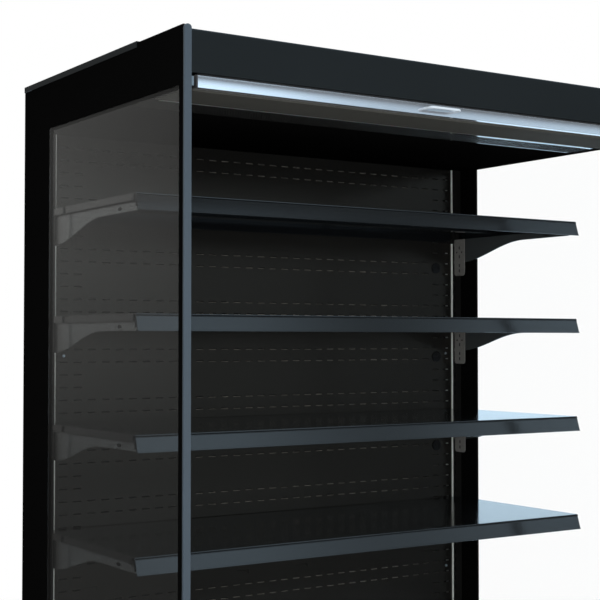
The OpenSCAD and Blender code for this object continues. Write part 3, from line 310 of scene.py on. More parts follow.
def ramp(tree, value, low=0.0, high=1.0, start=0.0, end=1.0, smooth=False):
    """A level that goes from start to end between two values, and is held beyond them."""
    return add(tree, "ShaderNodeMapRange", {0: value, 1: low, 2: high, 3: start, 4: end},
               interpolation_type="SMOOTHSTEP" if smooth else "LINEAR").outputs[0]


def blend_colour(tree, factor, a, b):
    """The output of a colour mix."""
    return add(tree, "ShaderNodeMix", {0: factor, 6: a, 7: b}, data_type="RGBA").outputs[2]


def mix_shaders(tree, factor, a, b):
    """A node that mixes two shader nodes."""
    return add(tree, "ShaderNodeMixShader", {0: factor, 1: a.outputs[0], 2: b.outputs[0]})


def object_place(tree):
    """The point on the piece, in the object's own axes."""
    return add(tree, "ShaderNodeTexCoord").outputs["Object"]


def noise(tree, place, scale, detail):
    """The output of a noise texture."""
    return add(tree, "ShaderNodeTexNoise", {"Vector": place, "Scale": scale, "Detail": detail}).outputs[0]


def new_group(name, kind, inputs, outputs):
    """An empty node group with named sockets, its input node and its output node."""
    tree = bpy.data.node_groups.new(name, kind)
    for label, socket, default in inputs:
        made = tree.interface.new_socket(label, in_out="INPUT", socket_type=socket)
        if default is not None:
            made.default_value = default
    for label, socket in outputs:
        tree.interface.new_socket(label, in_out="OUTPUT", socket_type=socket)
    return tree, tree.nodes.new("NodeGroupInput").outputs, tree.nodes.new("NodeGroupOutput").inputs


def group_once(name, build):
    """The node group of that name, built the first time it is asked for."""
    return bpy.data.node_groups.get(name) or build(name)


# Shader groups

def surface_group(name, own):
    """An empty surface group: colour, the finish's own input, and how far the look varies."""
    return new_group(name, "ShaderNodeTree", [
        ("Colour", COLOUR, GREY), own, ("Spread", FLOAT, 0.1), ("Roughness", FLOAT, 0.4),
        ("Roughness Spread", FLOAT, 0.1)], [("Colour", COLOUR), ("Roughness", FLOAT), ("Height", FLOAT)])


def surface_outputs(tree, given, result, fine, cloud):
    """Feeds colour, roughness and height from a fine and a broad noise."""
    swing = times(tree, minus(tree, cloud, 0.5), given["Spread"])
    shade = math_node(tree, "ADD", 1.0, times(tree, swing, 2.0))
    tint = add(tree, "ShaderNodeVectorMath", {0: given["Colour"], "Scale": shade}, operation="SCALE")
    rough = times(tree, minus(tree, fine, 0.5), given["Roughness Spread"])
    tree.links.new(tint.outputs[0], result["Colour"])
    tree.links.new(math_node(tree, "ADD", given["Roughness"], rough), result["Roughness"])
    tree.links.new(fine, result["Height"])
    return tree


def coat_grain(name):
    """Baked powder paint or moulded plastic: a fine peel with a faint cloudiness."""
    tree, given, result = surface_group(name, ("Grain", FLOAT, 900.0))
    place = object_place(tree)
    fine, cloud = noise(tree, place, given["Grain"], 2.0), noise(tree, place, 5.0, 4.0)
    return surface_outputs(tree, given, result, fine, cloud)


def drawn_lines(name):
    """Drawn or brushed metal: a noise pulled out along the piece."""
    tree, given, result = surface_group(name, ("Pull", VECTOR, (1.0, 1.0, 1.0)))
    place = object_place(tree)
    pulled = add(tree, "ShaderNodeVectorMath", {0: place, 1: given["Pull"]}, operation="MULTIPLY").outputs[0]
    return surface_outputs(tree, given, result, noise(tree, pulled, 1.0, 3.0), noise(tree, place, 9.0, 3.0))


def zinc_flakes(name):
    """Hot-dip zinc: crystal flakes that each catch the light a little differently."""
    tree, given, result = surface_group(name, ("Flakes", FLOAT, 120.0))
    flakes = add(tree, "ShaderNodeTexVoronoi", {"Vector": object_place(tree), "Scale": given["Flakes"]})
    flake = add(tree, "ShaderNodeSeparateColor", {0: flakes.outputs["Color"]}).outputs
    return surface_outputs(tree, given, result, flake[0], flake[1])


def settled_dust(name):
    """Dust that settles on faces that look up."""
    tree, given, result = new_group(name, "ShaderNodeTree", [
        ("Colour", COLOUR, GREY), ("Dust", COLOUR, GREY), ("Amount", FLOAT, 0.05)], [("Colour", COLOUR)])
    facing = add(tree, "ShaderNodeSeparateXYZ", {0: add(tree, "ShaderNodeNewGeometry").outputs["Normal"]})
    level = math_node(tree, "MAXIMUM", facing.outputs[2], 0.0)
    cover = times(tree, level, noise(tree, object_place(tree), 14.0, 5.0), given["Amount"])
    tree.links.new(blend_colour(tree, cover, given["Colour"], given["Dust"]), result["Colour"])
    return tree


# Finishes

def finish_name(slot):
    """The name of the material that finishes a slot."""
    return slot.replace("_", " ").title() + " Finish"


def new_material(slot):
    """An empty node material for a slot, with its tree and its shader."""
    material = bpy.data.materials.new(finish_name(slot))
    material.use_nodes = True
    return material, material.node_tree, material.node_tree.nodes["Principled BSDF"]


def set_inputs(node, values):
    """Sets the plain values of a node's inputs."""
    for label, value in values.items():
        node.inputs[label].default_value = value


def surfaced(slot, group, own, roughness, uneven, spread, relief, dust=0.0, shading=None):
    """A material with a surface group, its relief in metres, some dust and its shader's plain values."""
    material, tree, shader = new_material(slot)
    surface = add(tree, "ShaderNodeGroup", node_tree=group_once(*group))
    set_inputs(surface, {"Colour": colour_of(slot), **own, "Spread": spread, "Roughness": roughness,
                         "Roughness Spread": uneven})
    set_inputs(shader, shading or {})
    colour = surface.outputs["Colour"]
    if dust:
        layer = add(tree, "ShaderNodeGroup", node_tree=group_once("Settled Dust", settled_dust))
        set_inputs(layer, {"Dust": colour_of("dust"), "Amount": dust})
        tree.links.new(colour, layer.inputs["Colour"])
        colour = layer.outputs["Colour"]
    tree.links.new(colour, shader.inputs["Base Color"])
    tree.links.new(surface.outputs["Roughness"], shader.inputs["Roughness"])
    if relief:
        bump = add(tree, "ShaderNodeBump", {"Height": surface.outputs["Height"], "Distance": relief})
        tree.links.new(bump.outputs[0], shader.inputs["Normal"])
    return material


def coated(slot, roughness, gloss, relief=0.00002, grain=900.0, dust=0.0, tint=WHITE):
    """Powder paint or moulded plastic."""
    return surfaced(slot, ("Coat Grain", coat_grain), {"Grain": grain}, roughness, roughness / 4, 0.08, relief, dust,
                    {"Specular IOR Level": gloss, "Specular Tint": tint})


def drawn(slot, roughness, pull, relief=0.00001, spread=0.08, metal=1.0):
    """Bare drawn metal with lines along its length."""
    return surfaced(slot, ("Drawn Lines", drawn_lines), {"Pull": pull}, roughness, roughness / 2, spread, relief,
                    shading={"Metallic": metal})


def zinc_coated(slot, roughness, flakes=120.0, spread=0.15, metal=1.0):
    """Galvanised or zinc-plated steel."""
    return surfaced(slot, ("Zinc Flakes", zinc_flakes), {"Flakes": flakes}, roughness, roughness / 2, spread, 0.0,
                    shading={"Metallic": metal})


def opal(slot):
    """Opal acrylic of the lamp's diffuser, unlit."""
    return surfaced(slot, ("Coat Grain", coat_grain), {"Grain": 500.0}, 0.45, 0.1, 0.03, 0.00002,
                    shading={"Subsurface Weight": 0.2, "Subsurface Scale": 0.01})


def glazed(slot):
    """Clear float glass with a faint unevenness."""
    material, tree, shader = new_material(slot)
    tint = blend_colour(tree, noise(tree, object_place(tree), 3.0, 3.0), colour_of(slot), WHITE)
    tree.links.new(tint, shader.inputs["Base Color"])
    set_inputs(shader, {"Roughness": 0.0, "IOR": 1.2, "Transmission Weight": 1.0})
    return material


def woven(slot):
    """Plain woven blind fabric; the weave keeps its size when the blind is drawn out."""
    material, tree, shader = new_material(slot)
    threads = [add(tree, "ShaderNodeTexWave", {"Vector": object_place(tree), "Scale": 320.0},
                   bands_direction=axis).outputs[1] for axis in ("X", "Z")]
    weave = times(tree, *threads)
    shade = blend_colour(tree, times(tree, weave, 0.25), colour_of(slot), SOOT)
    bump = add(tree, "ShaderNodeBump", {"Height": weave, "Distance": 0.00005})
    tree.links.new(shade, shader.inputs["Base Color"])
    tree.links.new(bump.outputs[0], shader.inputs["Normal"])
    set_inputs(shader, {"Roughness": 0.8, "Sheen Weight": 0.15})
    return material


def lip_painted_light(slot):
    """Pressed slot lips with painted light: a painted highlight in the middle of the wall, fading to painted shade in
    the back panel's colour towards its sides.
    """
    material = coated(slot, 0.4, 0.4, grain=500.0)
    tree = material.node_tree
    base = tree.nodes["Principled BSDF"].inputs["Base Color"]
    across = add(tree, "ShaderNodeSeparateXYZ", {0: object_place(tree)}).outputs[0]
    left, right = ramp(tree, across, *LIP_LIGHT_LEFT), ramp(tree, across, *LIP_LIGHT_RIGHT, 1.0, 0.0)
    bright = base.links[0].from_socket
    tree.links.new(blend_colour(tree, times(tree, left, right), colour_of("back_paint"), bright), base)
    return material


LINES_X = (3.0, 900.0, 900.0)
LINES_Z = (900.0, 900.0, 3.0)
WARM = (1.0, 0.82, 0.66, 1.0)
FINISHES = {
    "insulated_panel": lambda s: coated(s, 0.5, 0.3, dust=0.12),
    "end_frame": lambda s: coated(s, 0.6, 0.0),
    "clear_glass": glazed,
    "gasket": lambda s: coated(s, 0.7, 0.1, grain=500.0),
    "end_trim": lambda s: coated(s, 0.42, 0.3),
    "galvanised": lambda s: zinc_coated(s, 0.42),
    "zinc": lambda s: zinc_coated(s, 0.35, flakes=400.0),
    "black_plastic": lambda s: coated(s, 0.5, 0.3, grain=700.0),
    "fascia_paint": lambda s: coated(s, 0.4, 0.05),
    "base_paint": lambda s: coated(s, 0.42, 0.3),
    "bumper": lambda s: coated(s, 0.6, 0.3, grain=600.0),
    "back_paint": lambda s: coated(s, 0.2, 0.4, relief=0.0, tint=WARM),
    "upright_paint": lambda s: coated(s, 0.5, 0.1),
    # Painted highlight beside the uprights.
    "edge_strip": lambda s: coated(s, 0.4, 0.4),
    "screw": lambda s: zinc_coated(s, 0.3, flakes=700.0, spread=0.05),
    "underside_paint": lambda s: coated(s, 0.6, 0.01),
    "lamp_housing": lambda s: drawn(s, 0.4, LINES_X),
    "diffuser": opal,
    "honeycomb": lambda s: coated(s, 0.06, 0.5, relief=0.0),
    "ceiling_paint": lambda s: coated(s, 0.6, 0.0),
    "tube": lambda s: drawn(s, 0.35, LINES_X),
    "blind_fabric": woven,
    "bar": lambda s: drawn(s, 0.1, LINES_X, relief=0.0, spread=0.04, metal=0.9),
    "bar_cap": lambda s: coated(s, 0.45, 0.3),
    "handle": lambda s: coated(s, 0.25, 0.5, grain=500.0),
    "arm_paint": lambda s: coated(s, 0.18, 0.8, relief=0.0),
    "hook_zinc": lambda s: zinc_coated(s, 0.45, flakes=300.0, spread=0.08, metal=0.1),
    "shelf_paint": lambda s: coated(s, 0.12, 0.5, relief=0.0),
    "price_rail": lambda s: coated(s, 0.14, 0.5, relief=0.0),
    # Painted shade in the price rails' groove.
    "rail_groove": lambda s: coated(s, 0.5, 0.1, relief=0.0),
    "comb_frame": lambda s: drawn(s, 0.07, LINES_X, relief=0.0, spread=0.05),
    "grille_paint": lambda s: coated(s, 0.4, 0.3),
    "motor": lambda s: coated(s, 0.5, 0.3),
    "rotor": lambda s: coated(s, 0.45, 0.3, grain=500.0),
    "coil": lambda s: drawn(s, 0.4, LINES_Z),
    "copper": lambda s: drawn(s, 0.3, LINES_Z, spread=0.2),
    "drain": lambda s: coated(s, 0.45, 0.4, grain=500.0),
    # Slot lips: a painted highlight that fades to painted shade towards the wall's sides.
    "slot_rim": lip_painted_light,
}


def finish(slot):
    """The finish of a material slot, made the first time it is asked for."""
    return bpy.data.materials.get(finish_name(slot)) or FINISHES[slot](slot)


# Meshes

def mesh_of(work, name, sharp=None):
    """A mesh from a finished bmesh: flat, or smooth with edges above an angle kept sharp."""
    mesh = bpy.data.meshes.new(name)
    work.to_mesh(mesh)
    work.free()
    if sharp:
        mesh.shade_smooth()
        mesh.set_sharp_from_angle(angle=sharp)
    return mesh


def settled(holder, name):
    """The plain mesh that an object evaluates to; the object itself goes."""
    bpy.context.view_layer.update()
    mesh = bpy.data.meshes.new_from_object(holder.evaluated_get(bpy.context.evaluated_depsgraph_get()))
    mesh.name = name
    bpy.data.objects.remove(holder)
    return mesh


def box_mesh(name, boxes):
    """A mesh of closed boxes, each given by its lowest and highest corner."""
    work = bmesh.new()
    for low, high in boxes:
        low, high = Vector(low), Vector(high)
        made = bmesh.ops.create_cube(work, size=1.0)["verts"]
        bmesh.ops.scale(work, vec=high - low, verts=made)
        bmesh.ops.translate(work, vec=(low + high) / 2, verts=made)
    return mesh_of(work, name)


def prism_mesh(name, outlines, along, start, end):
    """Closed prisms of outlines given in the other two axes, each drawn out along X or Y."""
    work = bmesh.new()
    for outline in outlines:
        ends = [[work.verts.new((place, *point) if along == "X" else (point[0], place, point[1]))
                 for point in outline] for place in (start, end)]
        for cap in ends:
            work.faces.new(cap)
        for k in range(len(outline)):
            work.faces.new((ends[0][k - 1], ends[0][k], ends[1][k], ends[1][k - 1]))
    bmesh.ops.recalc_face_normals(work, faces=work.faces)
    return mesh_of(work, name, SHARP)


def cloth_mesh(name, path, half_width, strips):
    """A sheet that follows a path in Y and Z, with a UV map in metres along the cloth, and its length."""
    work = bmesh.new()
    uv = work.loops.layers.uv.new("Cloth")
    along, rows = 0.0, []
    for step, (y, z) in enumerate(path):
        if step:
            along += math.dist(path[step - 1], (y, z))
        rows.append([(work.verts.new((x, y, z)), x, along) for x in (
            half_width * (2 * k / strips - 1) for k in range(strips + 1))])
    for low, high in zip(rows, rows[1:]):
        for k in range(strips):
            corners = (low[k], low[k + 1], high[k + 1], high[k])
            face = work.faces.new([corner[0] for corner in corners])
            for loop, corner in zip(face.loops, corners):
                loop[uv].uv = corner[1:]
    mesh = mesh_of(work, name)
    mesh.shade_smooth()
    return mesh, along


def quarter_turn(steps):
    """The angles of a quarter turn in equal steps."""
    return [SQUARE * k / steps for k in range(steps + 1)]


# Pieces

def linked(name, data):
    """A new object in the scene."""
    thing = bpy.data.objects.new(name, data)
    bpy.context.scene.collection.objects.link(thing)
    return thing


def new_piece(mesh, slot, body=CABINET, stands_for=()):
    """A finished piece, named as its mesh, that rides on a body and stands for CAD nodes."""
    piece = linked(mesh.name, mesh)
    mesh.materials.clear()
    mesh.materials.append(finish(slot))
    if body:
        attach(piece, body)
    if stands_for:
        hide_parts(*stands_for)
    return piece


def round_edges(piece, width):
    """Rounds a piece's sharp edges with a live modifier."""
    if width:
        rounding = piece.modifiers.new("Edge", "BEVEL")
        rounding.width = width
        rounding.segments = 2
        rounding.limit_method = "ANGLE"
        rounding.angle_limit = math.radians(40)


def dress(edge, *nodes):
    """Gives CAD nodes their finish, and rounds their edges with live modifiers."""
    for node in nodes:
        part = NODES[node]
        part.data.materials.clear()
        part.data.materials.append(finish(SLOT_OF[node]))
        if edge:
            part.modifiers.new("Weld", "WELD").merge_threshold = MERGE
            flat = part.modifiers.new("Flat Faces", "DECIMATE")
            flat.decimate_type = "DISSOLVE"
            flat.angle_limit = FLAT
            round_edges(part, edge)


def smooth_copy(node, edge=0.0, rise_above=None):
    """A smooth merged copy of a CAD node in its place; what lies above a height takes the top rise."""
    work = bmesh.new()
    work.from_mesh(NODES[node].data)
    bmesh.ops.remove_doubles(work, verts=work.verts, dist=MERGE)
    bmesh.ops.dissolve_limit(work, angle_limit=FLAT, verts=work.verts, edges=work.edges)
    if rise_above:
        for vert in work.verts:
            vert.co.z += sizes().top_rise if vert.co.z > rise_above else 0.0
    piece = new_piece(mesh_of(work, node + "_smooth", SHARP), SLOT_OF[node], BODY_OF[node], [node])
    round_edges(piece, edge)
    return piece


def smooth_copies(edge, *nodes):
    """Smooth copies of several CAD nodes with one edge rounding."""
    for node in nodes:
        smooth_copy(node, edge)


def cut_groove(mesh, low, high, depth):
    """Cuts a groove into a mesh's front between two heights; its faces take the second material."""
    work = bmesh.new()
    work.from_mesh(mesh)
    for height in (low, high):
        bmesh.ops.bisect_plane(work, geom=[*work.verts, *work.edges, *work.faces], dist=MERGE,
                               plane_co=(0.0, 0.0, height), plane_no=(0.0, 0.0, 1.0))
    band = [face for face in work.faces if face.normal.y < -0.8 and low < face.calc_center_median().z < high]
    inward = -band[0].normal * depth
    made = bmesh.ops.extrude_face_region(work, geom=band)["geom"]
    bmesh.ops.delete(work, geom=band, context="FACES")
    bmesh.ops.translate(work, vec=inward, verts=[part for part in made if isinstance(part, bmesh.types.BMVert)])
    for part in made:
        if isinstance(part, bmesh.types.BMFace):
            part.material_index = 1
    work.to_mesh(mesh)
    work.free()


def thicken(piece, thickness):
    """Gives a cloth piece its thickness."""
    wall = piece.modifiers.new("Cloth Thickness", "SOLIDIFY")
    wall.thickness = thickness
    wall.offset = 0.0


def grown(name, group, values, points, slot, stands_for=()):
    """A piece from a Geometry Nodes group that starts from given points."""
    seed = bpy.data.meshes.new(name + "_seed")
    seed.from_pydata(points, [], [])
    holder = linked(name + "_holder", seed)
    tree = group_once(*group)
    modifier = holder.modifiers.new("Shape", "NODES")
    modifier.node_group = tree
    keys = {item.name: item.identifier for item in tree.interface.items_tree if item.in_out == "INPUT"}
    for label, value in {**values, "Finish": finish(slot)}.items():
        modifier[keys[label]] = value
    return new_piece(settled(holder, name), slot, CABINET, stands_for)


def shelf_top(number):
    """The height of a shelf's top."""
    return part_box(f"shelf_{number}")[1].z


# Geometry Nodes

def geometry_group(name, inputs):
    """A Geometry Nodes group that takes geometry, its named sizes and a finish."""
    return new_group(name, "GeometryNodeTree", [
        ("Geometry", GEOMETRY, None), *inputs, ("Finish", MATERIAL, None)], [("Geometry", GEOMETRY)])


def placed(tree, points, shape):
    """Instances of a shape on points."""
    return add(tree, "GeometryNodeInstanceOnPoints", {"Points": points, "Instance": shape}).outputs[0]


def moved(tree, shape, **values):
    """A shape moved, turned or scaled."""
    return add(tree, "GeometryNodeTransform", {"Geometry": shape, **values}).outputs[0]


def end_tree(tree, given, result, shape):
    """Ends a tree: the shape on the input's points, made real, with the finish on it."""
    real = add(tree, "GeometryNodeRealizeInstances", {0: placed(tree, given["Geometry"], shape)})
    done = add(tree, "GeometryNodeSetMaterial", {"Geometry": real.outputs[0], "Material": given["Finish"]})
    tree.links.new(done.outputs[0], result["Geometry"])
    return tree


def lattice(tree, columns, rows, pitch_x, pitch_y):
    """Grid points about the origin in X and Y, and each point's column and row."""
    grid = add(tree, "GeometryNodeMeshGrid", {
        "Size X": times(tree, minus(tree, columns, 1.0), pitch_x),
        "Size Y": times(tree, minus(tree, rows, 1.0), pitch_y), "Vertices X": columns, "Vertices Y": rows})
    index = add(tree, "GeometryNodeInputIndex").outputs[0]
    column = math_node(tree, "FLOOR", over(tree, index, rows))
    return grid.outputs["Mesh"], column, math_node(tree, "MODULO", index, rows)


def honeycomb_cells(name):
    """Hexagonal tubes on a staggered lattice, placed at the input's one point."""
    tree, given, result = geometry_group(name, [
        ("Columns", INTEGER, 190), ("Rows", INTEGER, 15), ("Pitch", FLOAT, 0.0065),
        ("Wall", FLOAT, 0.0004), ("Depth", FLOAT, 0.02)])
    pitch = given["Pitch"]
    rise = times(tree, pitch, math.sin(math.radians(60)))
    points, _, row = lattice(tree, given["Columns"], given["Rows"], pitch, rise)
    stagger = minus(tree, math_node(tree, "MODULO", row, 2.0), 0.5)
    shift = vector(tree, x=times(tree, stagger, over(tree, pitch, 2.0)))
    shifted = add(tree, "GeometryNodeSetPosition", {"Geometry": points, "Offset": shift})
    radius = over(tree, minus(tree, pitch, given["Wall"]), 2 * math.cos(math.radians(30)))
    ring = add(tree, "GeometryNodeCurvePrimitiveCircle", {"Resolution": 6, "Radius": radius}, mode="RADIUS")
    wall = add(tree, "GeometryNodeCurvePrimitiveQuadrilateral", {
        "Width": given["Wall"], "Height": given["Depth"]}, mode="RECTANGLE")
    cell = add(tree, "GeometryNodeCurveToMesh", {
        "Curve": moved(tree, ring.outputs[0], Rotation=(0.0, 0.0, math.radians(30))),
        "Profile Curve": wall.outputs[0]})
    return end_tree(tree, given, result, placed(tree, shifted.outputs[0], cell.outputs[0]))


def slot_rims(name):
    """Pressed lips along the lower edge of the back panels' air slots, from the top left one at the input's point.

    Two rows of every four run right across; the others have two slots at each end. Slots that would
    cut into a light socket's seat are left out: the sockets follow the shelves, the last one apart.
    """
    tree, given, result = geometry_group(name, [
        ("Columns", INTEGER, 33), ("Rows", INTEGER, 47), ("Column Pitch", FLOAT, 0.03625),
        ("Row Pitch", FLOAT, 0.03), ("Length", FLOAT, 0.02), ("Height", FLOAT, 0.0025), ("Rim", FLOAT, 0.0004),
        ("Socket X", FLOAT, 0.0), ("Socket Z", FLOAT, 0.0), ("Socket Pitch", FLOAT, 0.25),
        ("Last Socket", FLOAT, 1.05), ("Socket Clear X", FLOAT, 0.0245), ("Socket Clear Z", FLOAT, 0.0205)])
    columns, clear = given["Columns"], given["Socket Clear Z"]
    points, column, row = lattice(tree, columns, given["Rows"], given["Column Pitch"], given["Row Pitch"])
    x = times(tree, column, given["Column Pitch"])
    z = times(tree, row, given["Row Pitch"], -1.0)
    spread = add(tree, "GeometryNodeSetPosition", {"Geometry": points, "Position": vector(tree, x=x, z=z)})
    partial = math_node(tree, "GREATER_THAN", math_node(tree, "MODULO", row, 4.0), 1.5)
    inner = times(tree, math_node(tree, "GREATER_THAN", column, 1.5),
                  math_node(tree, "LESS_THAN", column, minus(tree, columns, 2.5)))
    beside = math_node(tree, "LESS_THAN", apart(tree, x, given["Socket X"]), given["Socket Clear X"])
    fall = minus(tree, given["Socket Z"], z)
    level = math_node(tree, "PINGPONG", fall, over(tree, given["Socket Pitch"], 2.0))
    even = times(tree, math_node(tree, "LESS_THAN", level, clear),
                 math_node(tree, "GREATER_THAN", fall, times(tree, clear, -1.0)))
    last = math_node(tree, "LESS_THAN", apart(tree, fall, given["Last Socket"]), clear)
    near = times(tree, beside, math_node(tree, "MAXIMUM", even, last))
    gone = math_node(tree, "MAXIMUM", times(tree, partial, inner), near)
    kept = add(tree, "GeometryNodeDeleteGeometry", {
        "Geometry": spread.outputs[0], "Selection": math_node(tree, "GREATER_THAN", gone, 0.5)}, domain="POINT")
    half, foot = over(tree, given["Length"], 2.0), over(tree, given["Height"], -2.0)
    edge = add(tree, "GeometryNodeCurvePrimitiveLine", {
        "Start": vector(tree, x=times(tree, half, -1.0), z=foot), "End": vector(tree, x=half, z=foot)}, mode="POINTS")
    bead = add(tree, "GeometryNodeCurvePrimitiveCircle", {"Resolution": 6, "Radius": given["Rim"]}, mode="RADIUS")
    rim = add(tree, "GeometryNodeCurveToMesh", {
        "Curve": edge.outputs[0], "Profile Curve": bead.outputs[0], "Fill Caps": True})
    return end_tree(tree, given, result, placed(tree, kept.outputs[0], rim.outputs[0]))


def oval_plugs(name):
    """Oval push-in plugs in the Y-Z plane at the input's points."""
    tree, given, result = geometry_group(name, [
        ("Length", FLOAT, 0.02), ("Height", FLOAT, 0.0075), ("Thickness", FLOAT, 0.004)])
    disc = add(tree, "GeometryNodeMeshCylinder", {
        "Vertices": 32, "Radius": 0.5, "Depth": given["Thickness"]}, fill_type="NGON")
    oval = vector(tree, given["Height"], given["Length"], 1.0)
    return end_tree(tree, given, result, moved(
        tree, disc.outputs["Mesh"], Rotation=(0.0, SQUARE, 0.0), Scale=oval))


def panel_screws(name):
    """Pan-head screws with a cross recess at the input's points, driven in along +Y, or along -Y for Facing -1."""
    tree, given, result = geometry_group(name, [
        ("Head", FLOAT, 0.008), ("Head Height", FLOAT, 0.0024), ("Shank", FLOAT, 0.004),
        ("Shank Length", FLOAT, 0.01), ("Recess", FLOAT, 0.0012), ("Recess Depth", FLOAT, 0.0013),
        ("Facing", FLOAT, 1.0)])
    half, recess = over(tree, given["Head"], 2.0), given["Recess"]
    head = add(tree, "GeometryNodeMeshCone", {
        "Vertices": 24, "Radius Top": times(tree, half, 0.72), "Radius Bottom": half,
        "Depth": given["Head Height"]}, fill_type="NGON")
    shank = add(tree, "GeometryNodeMeshCylinder", {
        "Vertices": 16, "Radius": over(tree, given["Shank"], 2.0), "Depth": given["Shank Length"]}, fill_type="NGON")
    lowered = moved(tree, shank.outputs["Mesh"], Translation=vector(tree, z=over(tree, given["Shank Length"], -2.0)))
    reach, deep = times(tree, given["Head"], 0.56), times(tree, given["Recess Depth"], 2.0)
    cut = add(tree, "GeometryNodeMeshBoolean", {"Mesh 1": head.outputs["Mesh"]}, operation="DIFFERENCE")
    for size in ((reach, recess), (recess, reach)):
        bar = add(tree, "GeometryNodeMeshCube", {"Size": vector(tree, *size, deep)})
        lifted = moved(tree, bar.outputs["Mesh"], Translation=vector(tree, z=given["Head Height"]))
        tree.links.new(lifted, cut.inputs["Mesh 2"])
    screw = add(tree, "GeometryNodeJoinGeometry")
    for part in (cut.outputs["Mesh"], lowered):
        tree.links.new(part, screw.inputs[0])
    turn = vector(tree, x=times(tree, given["Facing"], SQUARE))
    return end_tree(tree, given, result, moved(tree, screw.outputs[0], Rotation=turn))


def screwed(name, points, rise, depth, facing, stands_for=()):
    """Panel screws at points, with the height of their heads and the depth of their shanks."""
    s = sizes()
    grown(name, ("Panel Screws", panel_screws), {
        "Head": s.screw_head, "Head Height": rise, "Shank": s.screw_shank, "Shank Length": depth,
        "Recess": s.screw_recess, "Recess Depth": s.screw_depth, "Facing": facing}, points, "screw", stands_for)


def plugged(name, points, wide, tall, thick):
    """Oval plugs at points."""
    grown(name, ("Oval Plugs", oval_plugs), {"Length": wide, "Height": tall, "Thickness": thick},
          points, "black_plastic")


# Operators

class CabinetOperator(bpy.types.Operator):
    """Base of the operators that finish the cabinet's pieces."""

    bl_options = {"REGISTER", "UNDO"}

    def execute(self, context):
        self.make(sizes())
        return {"FINISHED"}


class CABINET_OT_end_walls(CabinetOperator):
    """Finish the glazed end walls: frames, panes, gaskets and front strips"""

    bl_idname = "cabinet.end_walls"
    bl_label = "End Walls"

    def make(self, s):
        low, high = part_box("end_trims")
        for node in ("end_frame_left", "end_frame_right"):
            wall = smooth_copy(node, s.panel_edge, rise_above=high.z - s.panel_edge)
            # Mirrored rays pass the left frame, or it would darken the bracket arms beside it.
            wall.visible_glossy = node != "end_frame_left"
        dress(0.0, "end_glass", "glass_gaskets")
        pane_low, pane_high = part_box("end_glass")
        film = s.pane_film / 2
        new_piece(box_mesh("pane_front_borders", [
            ((face - film, pane_low.y, pane_low.z), (face + film, pane_low.y + s.pane_edge, pane_high.z))
            for face in (pane_low.x - film, pane_high.x + film)]), "end_frame")
        bend, top, inner = s.trim_round, high.z + s.top_rise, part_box("end_frame_right")[0].x
        outline = [(inner, low.z)]
        outline += [(inner + bend * (1 - math.cos(a)), top - bend * (1 - math.sin(a))) for a in quarter_turn(6)]
        outline += [(high.x - bend * (1 - math.sin(a)), top - bend * (1 - math.cos(a))) for a in quarter_turn(6)]
        outline.append((high.x, low.z))
        mirrored = [(-x, z) for x, z in outline]
        mesh = prism_mesh("end_trim_strips", [outline, mirrored], "Y", low.y, high.y)
        round_edges(new_piece(mesh, "end_trim", stands_for=["end_trims"]), s.panel_edge)


class CABINET_OT_shell(CabinetOperator):
    """Finish the insulated shell: rear wall, roof, cap and tub"""

    bl_idname = "cabinet.shell"
    bl_label = "Insulated Shell"

    def make(self, s):
        dress(s.panel_edge, "rear_wall", "roof_panel", "tub_front_wall")
        dress(0.0, "tub_floor")
        low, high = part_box("roof_cap")
        inner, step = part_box("end_frame_right")[0].x, low.z + s.top_rise
        lip, foot = s.cap_lip, high.z - s.cap_drop
        new_piece(box_mesh("roof_cap_cover", [
            ((-inner, low.y, low.z), (inner, high.y, step)), ((low.x, low.y, step), high),
            ((low.x - lip, low.y, foot), (low.x, high.y, high.z)),
            ((high.x, low.y, foot), (high.x + lip, high.y, high.z))]), "fascia_paint", stands_for=["roof_cap"])
        self.rear_joints(s)

    def rear_joints(self, s):
        low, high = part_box("rear_wall")
        face, half = high.y + s.joint_thick, s.joint_strip / 2
        joints = [low.x + (high.x - low.x) * k / (JOINTS + 1) for k in range(1, JOINTS + 1)]
        new_piece(box_mesh("rear_joint_strips", [
            ((x - half, high.y, low.z), (x + half, face, high.z)) for x in joints]), "insulated_panel")
        first, span = low.z + s.joint_end, high.z - low.z - 2 * s.joint_end
        points = [(x + side * s.joint_strip / 3, face, first + span * k / (JOINT_SCREWS - 1))
                  for x in joints for side in SIDES for k in range(JOINT_SCREWS)]
        screwed("rear_joint_screws", points, s.screw_depth * 2, s.joint_thick, -1.0)


class CABINET_OT_canopy(CabinetOperator):
    """Finish the canopy: fascia, underside, lamp and ceiling"""

    bl_idname = "cabinet.canopy"
    bl_label = "Canopy"

    def make(self, s):
        low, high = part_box("canopy_fascia")
        smooth_copy("canopy_fascia", s.sheet_edge, rise_above=(low.z + high.z) / 2)
        dress(s.sheet_edge, "canopy_underside", "led_housing", "led_diffuser", "ceiling_panel")


